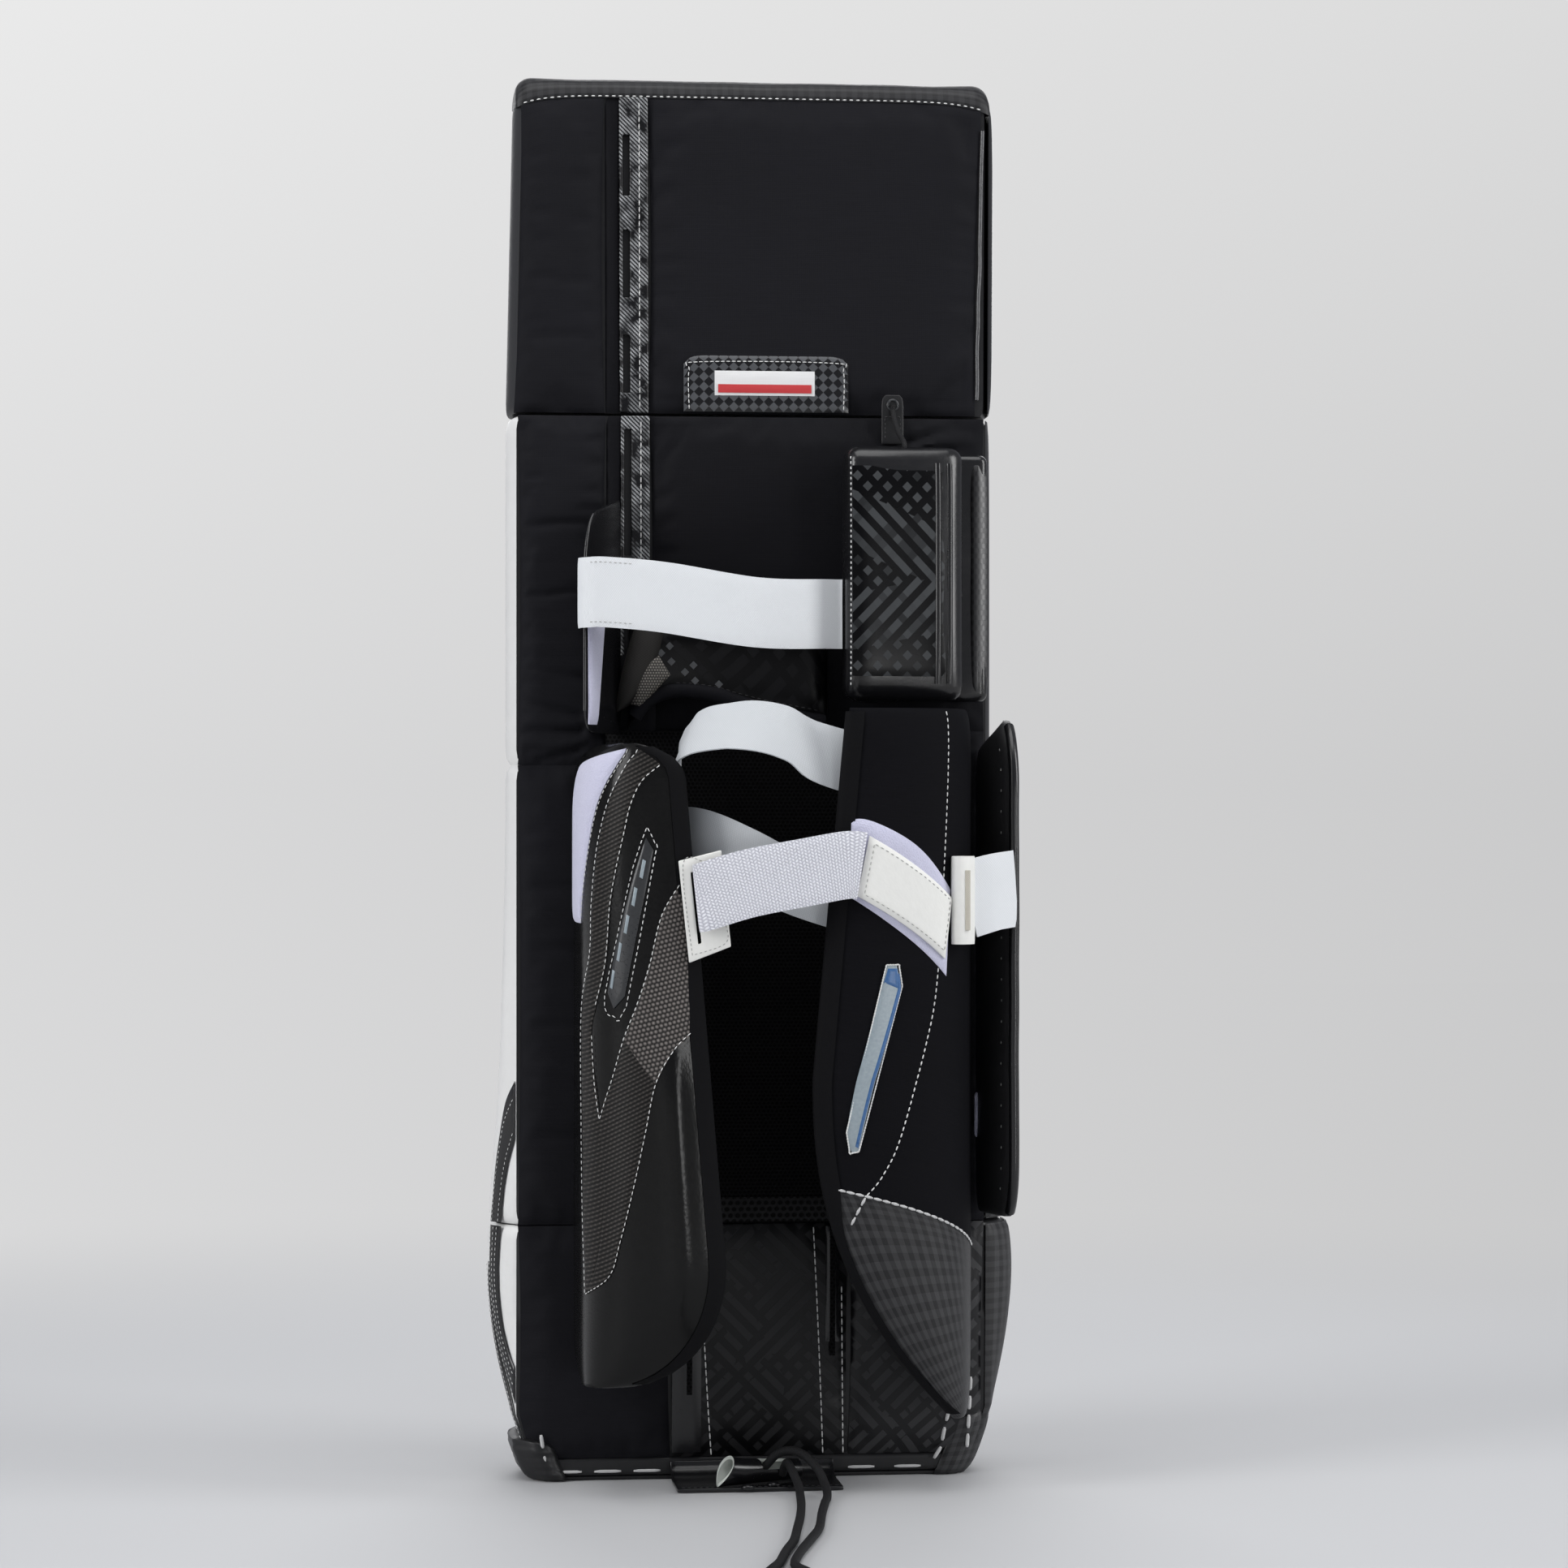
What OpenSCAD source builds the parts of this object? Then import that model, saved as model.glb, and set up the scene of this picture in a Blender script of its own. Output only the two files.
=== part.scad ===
/* [Main body] */
// Width of the shin, knee and thigh sections
pad_w = 280; // [262:1:300]
// Greatest width, at the boot break
flare_w = 306; // [300:1:340]
// Width of the toe edge that the pad stands on
toe_w = 250; // [220:1:290]
// Thickness of the boot, shin and knee sections
pad_t = 58; // [52:1:70]
// Thickness of the thigh section
thigh_t = 50; // [42:1:56]
// Height of the boot section
boot_h = 150; // [130:1:180]
// Height of the shin section, from boot break to knee break
shin_h = 268; // [240:1:300]
// Height of the knee section
knee_h = 204; // [196:1:230]
// Height of the thigh section below its cap
thigh_h = 186; // [140:1:240]
// Height of the rolled cap on the thigh section
cap_h = 14; // [8:1:22]
// Forward lean of the thigh section in degrees
thigh_lean = 2; // [2:0.5:12]
// How far the toe edge is set forward of the shin
toe_kick = 6; // [0:1:12]
// Radius of the front corners
corner_r = 22; // [12:1:26]
// Thickness of the outer wrap
skin_t = 3; // [2:0.5:5]
// Depth of the back panels below their seams
panel_t = 6; // [4:0.5:10]
// Height of a back panel's crown above its seams
crown_h = 5; // [2:0.5:8]
// Thickness of the sole
sole_t = 3; // [2:0.5:6]
// Height of the leather binding along the toe edge
binding_h = 10; // [6:1:16]

/* [Back panels] */
// Distance of the outer panels' inner seam from the centre plane
outer_seam_x = 86; // [80:1:90]
// Width of the lace strip beside that seam
strip_w = 26; // [20:1:30]
// Distance of the leg liner's inner seam from the centre plane
inner_seam_x = 97; // [92:1:102]
// Height of the knee panel's lower seam above the knee break
knee_seam_h = 20; // [14:1:26]
// Left and right edge of the boot channel, from the centre plane
channel_edges = [-48, 57]; // [-60:1:70]

/* [Calf wings] */
// Thickness of the padded wings
wing_t = 12; // [8:1:15]
// Depth of the leg channel, from the back plane to the middle of a wing's back
channel_d = 100; // [88:1:120]
// Distance of the outer wing's wall from the centre plane
outer_wall_x = 99; // [96:1:106]
// Distance of the inner wing's wall from the centre plane
inner_wall_x = 119; // [115:1:121]
// How far the outer wing hangs below the boot break
outer_wing_drop = 84; // [60:1:110]
// How far the inner wing hangs below the boot break
inner_wing_drop = 106; // [80:1:120]
// Height of the outer wing's top above the knee break
outer_wing_rise = 12; // [4:1:14]
// Height of the inner wing's top above the knee break
inner_wing_rise = 32; // [20:1:34]
// Depth of the medial flap
flap_d = 57; // [40:1:70]
// Thickness of the medial flap
flap_t = 9; // [6:1:12]

/* [Knee] */
// Width, depth and height of the padded knee block
knee_block = [66, 34, 143]; // [30:1:160]
// Depth of the base layer under the knee block
knee_base_t = 18; // [12:1:24]
// Depth and thickness of the outer knee wing
knee_wing = [52, 5]; // [4:1:60]
// Height of the outer knee wing
knee_wing_h = 128; // [100:1:140]
// Outward lean of the outer knee wing in degrees
knee_wing_lean = 25; // [20:1:35]

/* [Straps] */
// Width and thickness of the calf webbing
webbing = [38, 2]; // [1:0.5:50]
// Width and thickness of the knee strap and the calf elastics
elastic = [40, 1.6]; // [1:0.1:50]
// Thickness of strap leather
leather_t = 2.4; // [1.5:0.1:4]
// Thickness of the hook and pile patches
pile_t = 1.6; // [1:0.1:2.5]

/* [Toe] */
// Outer diameter of the rolled leather toggle
toggle_d = 17; // [15:0.5:22]
// Length of the toggle
toggle_l = 47; // [36:1:60]
// Diameter of the elastic toe cord
cord_d = 5; // [3:0.5:6]

/* [Hidden] */
// Running gap between pieces that move, and gap between sewn pieces
fit = 0.3;
sewn = 0.1;
// Opening left at the two flex breaks
break_gap = 0.6;
z_boot = boot_h;
z_knee = boot_h + shin_h;
z_thigh = z_knee + knee_h;
y_back = -pad_t / 2 - toe_kick;
y_face = y_back + pad_t;
y_thigh = y_face - thigh_t;
// Depth at which pieces rest on the crowned back panels
y_seat = y_back - crown_h - fit;
strip_x = outer_seam_x - strip_w;
knee_seam_z = z_knee + knee_seam_h;
outer_top = z_knee + outer_wing_rise;
outer_low = z_boot - outer_wing_drop;
inner_top = z_knee + inner_wing_rise;
inner_low = z_boot - inner_wing_drop;
// Joint between the inner wing's padding and its leather flare, at wall and free edge
flare_z = [z_boot - 26, z_boot + 30];
knee_block_z = inner_top + 5;
knee_base_right = pad_w / 2 - 4;
knee_block_left = knee_base_right - 21 - knee_block[0];
y_knee_base = y_seat - knee_base_t;
y_knee_block = y_knee_base - fit - knee_block[1];
knee_wing_x = outer_seam_x - 6;
knee_wing_z = z_knee + 18;
// Corner of the outer knee wing's root about which it flexes
knee_wing_pivot = [
    -knee_wing_x + knee_wing[1] / 2 * cos(knee_wing_lean),
    y_seat - knee_wing[1] * sin(knee_wing_lean)
];
strap_z = z_knee + 92;
calf_strap_z = z_boot + 193;
// Outer face of the slotted keeper, in front of the outer wing's back
y_keeper = y_back - channel_d - wing_t / 2 - fit - leather_t;
keeper_x = -55;
keeper_w = 31;
keeper_h = 56;
calf_pivot = [keeper_x + 12, y_keeper - fit - webbing[1]];
toggle_y = -pad_t / 2 - 38;
// How far the toe binding stands behind the boot's back plane
binding_proud = 1.5;
bridge_t = 2.2;
bridge_w = 96;
toggle_z = bridge_t + 2 * fit + toggle_d / 2;
toggle_wall = 2.2;

// Small helpers for numbers and vectors
function clamp01(t) = max(0, min(1, t));
function mix(a, b, t) = a + (b - a) * t;
function unit(v) = v / norm(v);
function span(n) = [for (i = [0:n]) i / n];
function cosine_span(n) = [for (i = [0:n]) 0.5 - 0.5 * cos(180 * i / n)];
// How far a rounded corner has cut in, from 0 where it starts to 1 at its end
function round_off(s) = 1 - sqrt(1 - pow(clamp01(s), 2));
// Pillow section, 0 at both edges and 1 in the middle
function pillow(t, power) = sqrt(max(0, 1 - pow(abs(2 * t - 1), power)));

// Cubic curve through four control points, and its direction
function curve(p, t) =
    pow(1 - t, 3) * p[0] + 3 * pow(1 - t, 2) * t * p[1] + 3 * (1 - t) * t * t * p[2] + pow(t, 3) * p[3];
function curve_dir(p, t) =
    unit(pow(1 - t, 2) * (p[1] - p[0]) + 2 * (1 - t) * t * (p[2] - p[1]) + t * t * (p[3] - p[2]));

// Smooth route through a short list of points
function route_at(p, i, t) =
    let (
        a = p[max(0, i - 1)],
        b = p[i],
        c = p[i + 1],
        d = p[min(len(p) - 1, i + 2)]
    )
    0.5 * (2 * b + (c - a) * t + (2 * a - 5 * b + 4 * c - d) * t * t + (3 * b - a - 3 * c + d) * t * t * t);
function route(p, steps) = [
    for (i = [0:len(p) - 2]) for (k = [0:steps - 1]) route_at(p, i, k / steps),
    p[len(p) - 1]
];
function route_dir(p, i) = unit(p[min(len(p) - 1, i + 1)] - p[max(0, i - 1)]);

// Half width of the pad's outline at a height
function boot_rise(z) = pow(sin(90 * clamp01(z / (0.88 * boot_h))), 0.8);
function shin_fall(z) = pow(1 - clamp01((z - z_boot) / (0.85 * shin_h)), 1.5);
function half_w(z) = z < z_boot
    ? mix(toe_w, flare_w, boot_rise(z)) / 2
    : mix(pad_w, flare_w, shin_fall(z)) / 2;
// Half width of its back, which stays narrower where the sides swell out
rear_inset = 1.5;
function rear_w(z) = min(half_w(z), pad_w / 2) - rear_inset;
// How far the boot section is set forward at a height
function kick(z) = toe_kick * pow(1 - clamp01(z / z_boot), 1.5);

// Share of the side's swelling reached at a share of the way from the back edge
side_swell = 0.75;
side_swell_at = 0.3;
// Wall of a section seen from above: outer side, two round front corners, inner side
function wall(hw, rear, back, face, r) =
    let (
        swell_x = mix(rear, hw, side_swell),
        swell_y = mix(back, face - r, side_swell_at)
    )
    concat(
        [[-rear, back], [-swell_x, swell_y]],
        [for (a = [180:-15:90]) [-hw + r + r * cos(a), face - r + r * sin(a)]],
        [for (a = [90:-15:0]) [hw - r + r * cos(a), face - r + r * sin(a)]],
        [[swell_x, swell_y], [rear, back]]
    );
function part_of(list, first, last) = [for (i = [first:last]) list[i]];
function at_height(points, z) = [for (p = points) [p[0], p[1], z]];

// Triangles of a grid of points, turned to face one way or the other
function grid_faces(rows, cols, start, turned) = [
    for (r = [0:rows - 2]) for (c = [0:cols - 2])
        let (
            i = start + r * cols + c,
            quad = [i, i + 1, i + cols + 1, i + cols]
        )
        each turned
            ? [[quad[0], quad[2], quad[1]], [quad[0], quad[3], quad[2]]]
            : [[quad[0], quad[1], quad[2]], [quad[0], quad[2], quad[3]]]
];
function rim_faces(rim, count, turned) = [
    for (k = [0:len(rim) - 1])
        let (
            i = rim[k],
            j = rim[(k + 1) % len(rim)]
        )
        each turned
            ? [[i, j, j + count], [i, j + count, i + count]]
            : [[i, j + count, j], [i, i + count, j + count]]
];

// Closed solid between two grids of points with the same rows and columns
module slab(a, b) {
    rows = len(a);
    cols = len(a[0]);
    count = rows * cols;
    rim = concat(
        [for (c = [0:cols - 1]) c],
        [for (r = [1:rows - 1]) r * cols + cols - 1],
        [for (c = [cols - 2:-1:0]) (rows - 1) * cols + c],
        [for (r = [rows - 2:-1:1]) r * cols]
    );
    mr = floor((rows - 1) / 2);
    mc = floor((cols - 1) / 2);
    along = a[mr][mc + 1] - a[mr][mc];
    up = a[mr + 1][mc] - a[mr][mc];
    turned = cross(along, up) * (a[mr][mc] - b[mr][mc]) > 0;
    polyhedron(
        points = concat([for (r = a) each r], [for (r = b) each r]),
        faces = concat(
            grid_faces(rows, cols, 0, turned),
            grid_faces(rows, cols, count, !turned),
            rim_faces(rim, count, turned)
        ),
        convexity = 8
    );
}

// Solid through a stack of level, convex loops, listed clockwise from above
module loft(loops) {
    rows = len(loops);
    n = len(loops[0]);
    last = (rows - 1) * n;
    polyhedron(
        points = [for (l = loops) each l],
        faces = concat(
            [for (r = [0:rows - 2]) for (i = [0:n - 1])
                let (
                    p = r * n + i,
                    q = r * n + (i + 1) % n
                )
                each [[p, q, q + n], [p, q + n, p + n]]],
            [for (i = [1:n - 2]) [0, i + 1, i]],
            [for (i = [1:n - 2]) [last, last + i, last + i + 1]]
        ),
        convexity = 4
    );
}

// Flat strap along a route: width lies along the upright direction as the strap turns
module strap(path, width, thick, upright = [0, 0, 1]) {
    frames = [for (i = [0:len(path) - 1])
        let (
            t = route_dir(path, i),
            n = unit(cross(t, upright)),
            w = cross(n, t)
        )
        [path[i], n * thick / 2, w * width / 2]];
    slab(
        [for (f = frames) [f[0] + f[1] - f[2], f[0] + f[1], f[0] + f[1] + f[2]]],
        [for (f = frames) [f[0] - f[1] - f[2], f[0] - f[1], f[0] - f[1] + f[2]]]
    );
}

// Round cord along a route, with its rings carried along without twist
module cord(path, d, sides, start_side) {
    n = len(path);
    dirs = [for (i = [0:n - 1]) route_dir(path, i)];
    sides_at = [
        for (
            i = 0, s = unit(start_side - dirs[0] * (start_side * dirs[0]));
            i < n;
            i = i + 1, s = i < n ? unit(s - dirs[i] * (s * dirs[i])) : s
        ) s
    ];
    rings = [for (i = [0:n - 1]) [for (k = [0:sides - 1])
        let (a = 360 * k / sides)
        path[i] + d / 2 * (cos(a) * sides_at[i] + sin(a) * cross(sides_at[i], dirs[i]))]];
    last = (n - 1) * sides;
    polyhedron(
        points = [for (r = rings) each r],
        faces = concat(
            [for (r = [0:n - 2]) for (k = [0:sides - 1])
                let (
                    p = r * sides + k,
                    q = r * sides + (k + 1) % sides
                )
                each [[p, q, q + sides], [p, q + sides, p + sides]]],
            [for (k = [1:sides - 2]) [0, k + 1, k]],
            [for (k = [1:sides - 2]) [last, last + k, last + k + 1]]
        ),
        convexity = 10
    );
}

// Crowned back panel between two seams, drawn in a little between its corners
module back_panel(z0, z1, left, right, depth, crown, rows = 10, cols = 10) {
    draw = 1.5;
    zs = [for (v = cosine_span(rows)) mix(z0, z1, v)];
    rear = [for (z = zs)
        let (
            v = (z - z0) / (z1 - z0),
            pull = draw * 4 * v * (1 - v)
        )
        [for (u = cosine_span(cols))
            [mix(left(z) + pull, right(z) - pull, u), depth(z) - crown * pillow(u, 4) * pillow(v, 4), z]]];
    slab(rear, [for (row = rear) [for (p = row) [p[0], depth(p[2]) + panel_t - sewn, p[2]]]]);
}

// Outline edges and depths that the panels share, with room to the wrap
edge_gap = 0.8;
outer_edge = function (z) -rear_w(z) + skin_t + edge_gap;
inner_edge = function (z) rear_w(z) - skin_t - edge_gap;
function upright_at(x) = function (z) x;
shin_depth = function (z) y_back;
boot_depth = function (z) y_back + kick(z);
thigh_depth = function (z) y_thigh;

// Outer wrap of a section over some of its wall's points
module wrap(zs, back, face, shift, first, last) {
    outside = [for (z = zs)
        at_height(part_of(wall(half_w(z), rear_w(z), back + shift(z), face + shift(z), corner_r),
            first, last), z)];
    inside = [for (z = zs)
        at_height(part_of(wall(half_w(z) - skin_t, rear_w(z) - skin_t, back + shift(z),
            face + shift(z) - skin_t, corner_r - skin_t), first, last), z)];
    slab(outside, inside);
}

// Foam core that fills a section inside its wrap and back panels
module core(zs, back, face, shift) {
    inset = skin_t + sewn;
    behind_panel = 0.1;
    loft([for (z = zs)
        at_height(wall(half_w(z) - inset, mix(rear_w(z), half_w(z), behind_panel) - inset,
            back + shift(z) + panel_t, face + shift(z) - inset, corner_r - skin_t), z)]);
}

no_shift = function (z) 0;
boot_shift = function (z) kick(z);
shin_zs = [for (v = span(8)) mix(z_boot + break_gap / 2, z_thigh - break_gap / 2, v)];
boot_zs = [for (v = cosine_span(8)) mix(sole_t, z_boot - break_gap / 2, v)];
thigh_zs = [for (v = span(3)) mix(z_thigh + break_gap / 2, z_thigh + thigh_h, v)];

module leaned() {
    translate([0, y_face, z_thigh])
        rotate([-thigh_lean, 0, 0])
            translate([0, -y_face, -z_thigh])
                children();
}

// Lace strip with long slots, beside the outer panels' seam
module lace_strip(z0, z1, back, count) {
    slot_w = 4;
    slot_share = 0.64;
    aside = 1.5;
    proud = 1;
    pitch = (z1 - z0) / count;
    slot_h = pitch * slot_share;
    slot_x = -outer_seam_x + (strip_w - slot_w) / 2 + aside;
    difference() {
        translate([-outer_seam_x + fit, back - proud, z0])
            cube([strip_w - 2 * fit, panel_t + proud, z1 - z0]);
        for (i = [0:count - 1])
            translate([slot_x, back - proud - 1, z0 + (i + 0.5) * pitch - slot_h / 2])
                cube([slot_w, proud + 3, slot_h]);
    }
}

// Shin and knee section

module shin_core() {
    color("#3b3b40") core(shin_zs, y_back, y_face, no_shift);
}

module shin_face() {
    color("#e9e9ec") wrap(shin_zs, y_back, y_face, no_shift, 0, 15);
}

module medial_gusset() {
    color("#17171a") wrap(shin_zs, y_back, y_face, no_shift, 15, 17);
}

module knee_outer_panel() {
    color("#1d1e22")
        back_panel(z_knee + sewn, z_thigh - break_gap / 2, outer_edge, upright_at(-outer_seam_x),
            shin_depth, crown_h);
}

module shin_outer_panel() {
    color("#1d1e22")
        back_panel(z_boot + break_gap / 2, z_knee, outer_edge, upright_at(-outer_seam_x),
            shin_depth, crown_h);
}

module shin_inner_panel() {
    color("#1d1e22")
        back_panel(z_boot + break_gap / 2, knee_seam_z, upright_at(inner_seam_x), inner_edge,
            shin_depth, crown_h);
}

module knee_panel() {
    color("#24252a")
        back_panel(knee_seam_z + sewn, z_thigh - break_gap / 2, upright_at(-strip_x), inner_edge,
            shin_depth, crown_h);
}

// Hollowed mesh lining of the leg channel, thicker along both sides
module leg_liner() {
    side_t = 8;
    mid_t = 2;
    left = -outer_seam_x + sewn;
    right = inner_seam_x - sewn;
    zs = [for (v = cosine_span(8)) mix(z_boot + break_gap / 2, knee_seam_z, v)];
    rear = [for (z = zs) [for (u = cosine_span(12))
        [mix(left, right, u), y_back - mix(mid_t, side_t, pow(2 * u - 1, 2)) * pillow(u, 12), z]]];
    color("#2b2a33")
        slab(rear, [for (row = rear) [for (p = row) [p[0], y_back + panel_t, p[2]]]]);
}

module knee_lace_strip() {
    color("#101013") lace_strip(knee_seam_z + sewn, z_thigh - break_gap / 2, y_back, 2);
}

// Arched pad that the knee kneels against, thicker at both ends
module knee_cradle() {
    left = -strip_x - 12;
    right = knee_block_left - 6;
    top = knee_seam_z + 62;
    // Rise of the lower edge above the knee seam, at shares of the width
    arch = [[0, 1], [0.07, 13], [0.13, 18], [0.2, 21], [0.3, 22], [0.42, 20], [0.55, 15], [0.75, 9], [1, 3]];
    end_t = 17;
    mid_t = 9;
    edge_t = 3;
    rows = 8;
    front = y_seat + fit - sewn;
    function low(u) = knee_seam_z + lookup(u, arch);
    rear = [for (v = cosine_span(rows)) [for (u = cosine_span(16))
        [
            mix(left, right, u),
            front - edge_t - (mix(mid_t, end_t, pow(2 * u - 1, 2)) - edge_t) * pillow(u, 6) * pillow(v, 4),
            mix(low(u), top - 8 * round_off((u - 0.7) / 0.3), v)
        ]]];
    color("#1b1b20")
        slab(rear, [for (row = rear) [for (p = row) [p[0], front, p[2]]]]);
}

// Fabric patch that holds the knee block's elastic cord
anchor_x = 82;
module cord_anchor() {
    width = 13;
    low = 16;
    rise = 13;
    thick = 2;
    stand = crown_h * 0.9 + fit;
    color("#141416")
        translate([anchor_x - width / 2, y_back - stand - thick, z_thigh - low])
            difference() {
                cube([width, thick, low + rise]);
                translate([width / 2, -1, low + rise - 6])
                    rotate([-90, 0, 0]) cylinder(d = 4, h = thick + 2, $fn = 32);
            }
}

// Elastics sewn to the liner on the outer side and inside the inner wing
function elastic_path(z, points, end_ts) =
    let (off = -wing_t / 2 - 2 * fit - elastic[1] / 2)
    route(concat(
        [for (p = points) [p[0], y_back + p[1], z + p[2]]],
        [for (e = end_ts) wing_point(1, inner_section(z + e[1]), e[0], z + e[1], off)]
    ), 3);
function upper_elastic_path() = elastic_path(z_knee, [
    [-46, -5, -14], [-45, -40, -12], [-43, -74, -6], [-35, -97, 6], [-14, -109, 18],
    [8, -104, 19], [28, -92, 12]
], [[0.88, 3], [0.74, -3]]);
function lower_elastic_path() = elastic_path(z_knee, [
    [-53, -5.2, -46], [-52, -38, -46], [-48, -66, -46], [-36, -84, -48], [-14, -90, -55], [16, -88, -67]
], [[0.9, -79], [0.74, -86]]);

module upper_elastic() {
    color("#f0f0f4") strap(upper_elastic_path(), elastic[0] * 0.8, elastic[1]);
}

module lower_elastic() {
    color("#e4e4ea") strap(lower_elastic_path(), elastic[0] * 0.8, elastic[1]);
}

// Short elastic cord from the anchor patch to the top of the knee block
module knee_cord() {
    d = 3;
    y_anchor = y_back - crown_h * 0.9 - 2 - 2 * fit - d / 2;
    y_block = y_knee_base - knee_block[1] / 2;
    top = z_thigh + 7;
    low = knee_block_z + knee_block[2] + fit;
    path = route([
        [anchor_x, y_anchor, top], [anchor_x, y_anchor - 1, top - 6],
        [anchor_x + 1, mix(y_anchor, y_block, 0.45), mix(top, low, 0.55)],
        [anchor_x + 2, y_block, low + 6], [anchor_x + 2, y_block, low]
    ], 4);
    color("#0d0d0f") cord(path, d, 8, [1, 0, 0]);
}

// Thigh section

module thigh_core() {
    color("#3b3b40") leaned() core(thigh_zs, y_thigh, y_face, no_shift);
}

module thigh_face() {
    color("#1a1b1f") leaned() wrap(thigh_zs, y_thigh, y_face, no_shift, 0, 17);
}

module thigh_outer_panel() {
    color("#1d1e22") leaned()
        back_panel(z_thigh + break_gap / 2, z_thigh + thigh_h, outer_edge, upright_at(-outer_seam_x),
            thigh_depth, crown_h);
}

module thigh_panel() {
    color("#212228") leaned()
        back_panel(z_thigh + break_gap / 2, z_thigh + thigh_h, upright_at(-strip_x), inner_edge,
            thigh_depth, crown_h);
}

module thigh_lace_strip() {
    color("#101013") leaned() lace_strip(z_thigh + break_gap / 2, z_thigh + thigh_h, y_thigh, 3);
}

// Rolled top edge, domed across its thickness and rounded at both ends
module top_cap() {
    base = z_thigh + thigh_h + sewn;
    hw = pad_w / 2;
    end_r = 14;
    xs = concat([-hw], [for (a = [60:-30:0]) -hw + end_r * (1 - cos(90 - a))], [0],
        [for (a = [0:30:60]) hw - end_r * (1 - cos(90 - a))], [hw]);
    function height(x) = cap_h * sqrt(max(0.16, 1 - pow(clamp01((abs(x) - hw + end_r) / end_r), 2)));
    top = [for (x = xs) [for (a = [180:-20:0])
        [x, mix(y_thigh, y_face, 0.5) + thigh_t / 2 * cos(a), base + 0.5 + height(x) * sin(a)]]];
    color("#26262b") leaned()
        slab(top, [for (row = top) [for (p = row) [p[0], p[1], base]]]);
}

// Bare label patch sewn low on the thigh panel
module label_patch() {
    size = [97, 31];
    left = -40;
    rise = 1;
    thick = 2;
    color("#17171a") leaned()
        translate([left, y_thigh - crown_h - sewn - thick, z_thigh + rise])
            cube([size[0], thick, size[1]]);
}

// Boot section

module sole() {
    color("#141416")
        linear_extrude(sole_t)
            polygon(wall(half_w(0), rear_w(0), -pad_t / 2, pad_t / 2, corner_r));
}

module boot_core() {
    color("#3b3b40") core(boot_zs, y_back, y_face, boot_shift);
}

module boot_face() {
    color("#e9e9ec") wrap(boot_zs, y_back, y_face, boot_shift, 0, 17);
}

// Leather binding along the back of the toe edge
module toe_binding() {
    width = toe_w - 2 * (skin_t + fit);
    back = y_back + kick(sole_t);
    color("#121214")
        translate([-width / 2, back - binding_proud, sole_t])
            cube([width, binding_proud + panel_t - toe_kick * 0.2, binding_h]);
}

boot_panel_z = sole_t + binding_h + sewn;

module boot_outer_panel() {
    color("#1d1e22")
        back_panel(boot_panel_z, z_boot - break_gap / 2, outer_edge, upright_at(channel_edges[0]),
            boot_depth, crown_h);
}

module boot_channel() {
    color("#151518")
        back_panel(boot_panel_z, z_boot - break_gap / 2, upright_at(channel_edges[0] + sewn),
            upright_at(channel_edges[1] - sewn), boot_depth, crown_h * 0.6);
}

module boot_inner_panel() {
    color("#1d1e22")
        back_panel(boot_panel_z, z_boot - break_gap / 2, upright_at(channel_edges[1]), inner_edge,
            boot_depth, crown_h);
}

// Leather wrap round one toe corner, from the back edge to the front corner
module toe_corner(side, height) {
    thick = 2;
    zs = [for (v = span(5)) mix(fit, height, v)];
    function layer(off) = [for (z = zs)
        let (
            back = y_back + kick(z) - off,
            face = y_face + kick(z) + off,
            line = part_of(wall(half_w(z) + off, rear_w(z) + off, back, face, corner_r + off), 0, 8)
        )
        [for (p = line) [side * -p[0], p[1], z]]];
    slab(layer(fit + thick), layer(fit));
}

module outer_toe_corner() {
    color("#101012") toe_corner(-1, 24);
}

module inner_toe_corner() {
    color("#101012") toe_corner(1, 36);
}

// White lacing that shows as stitches along the toe edge, beside the bridge
module bottom_lace() {
    lace_d = 3;
    stitch = 13;
    pitch = 20;
    back = y_back + kick(sole_t) - binding_proud - sewn - lace_d / 2;
    first = bridge_w / 2 + pitch * 0.7;
    last = toe_w / 2 - pitch * 0.7;
    color("#f1f1f1")
        for (side = [-1, 1])
            for (x = [first:pitch:last])
                translate([side * x, back, sole_t + binding_h * 0.55])
                    rotate([0, 90, 0]) {
                        cylinder(d = lace_d, h = stitch, center = true, $fn = 24);
                        for (end = [-1, 1])
                            translate([0, 0, end * stitch / 2]) sphere(d = lace_d, $fn = 24);
                    }
}

// Leather flap that carries the toggle and lies back onto the floor
module toe_bridge() {
    top = sole_t + binding_h * 0.8;
    start = y_back + kick(sole_t) - binding_proud - fit - bridge_t / 2;
    flat = fit + bridge_t / 2;
    eye_d = 6;
    path = route([
        [0, start, top], [0, start - 0.6, top - 2.5], [0, start - 5, flat + 2.5], [0, start - 14, flat],
        [0, toggle_y + toggle_d / 4, flat], [0, toggle_y - 14, flat]
    ], 3);
    color("#141416")
        difference() {
            strap(path, bridge_w, bridge_t, [1, 0, 0]);
            for (x = [-10, 14])
                translate([x, toggle_y, -1]) cylinder(d = eye_d, h = bridge_t + 3, $fn = 32);
        }
}

// Leather rolled into a tube, its two edges sewn flat along the rear, with a window for the cord
module toe_toggle() {
    r = toggle_d / 2;
    tail = 6;
    window = [22, toggle_d];
    color("#161618")
        translate([1, toggle_y, toggle_z])
            difference() {
                rotate([90, 0, 90])
                    linear_extrude(toggle_l, center = true) {
                        difference() {
                            circle(r, $fn = 64);
                            circle(r - toggle_wall, $fn = 64);
                        }
                        translate([-r - tail, -r]) square([r + tail - toggle_wall, toggle_wall]);
                    }
                translate([-3, -window[1], 0]) cube([window[0], window[1] + 2, r + 1]);
            }
}

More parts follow.
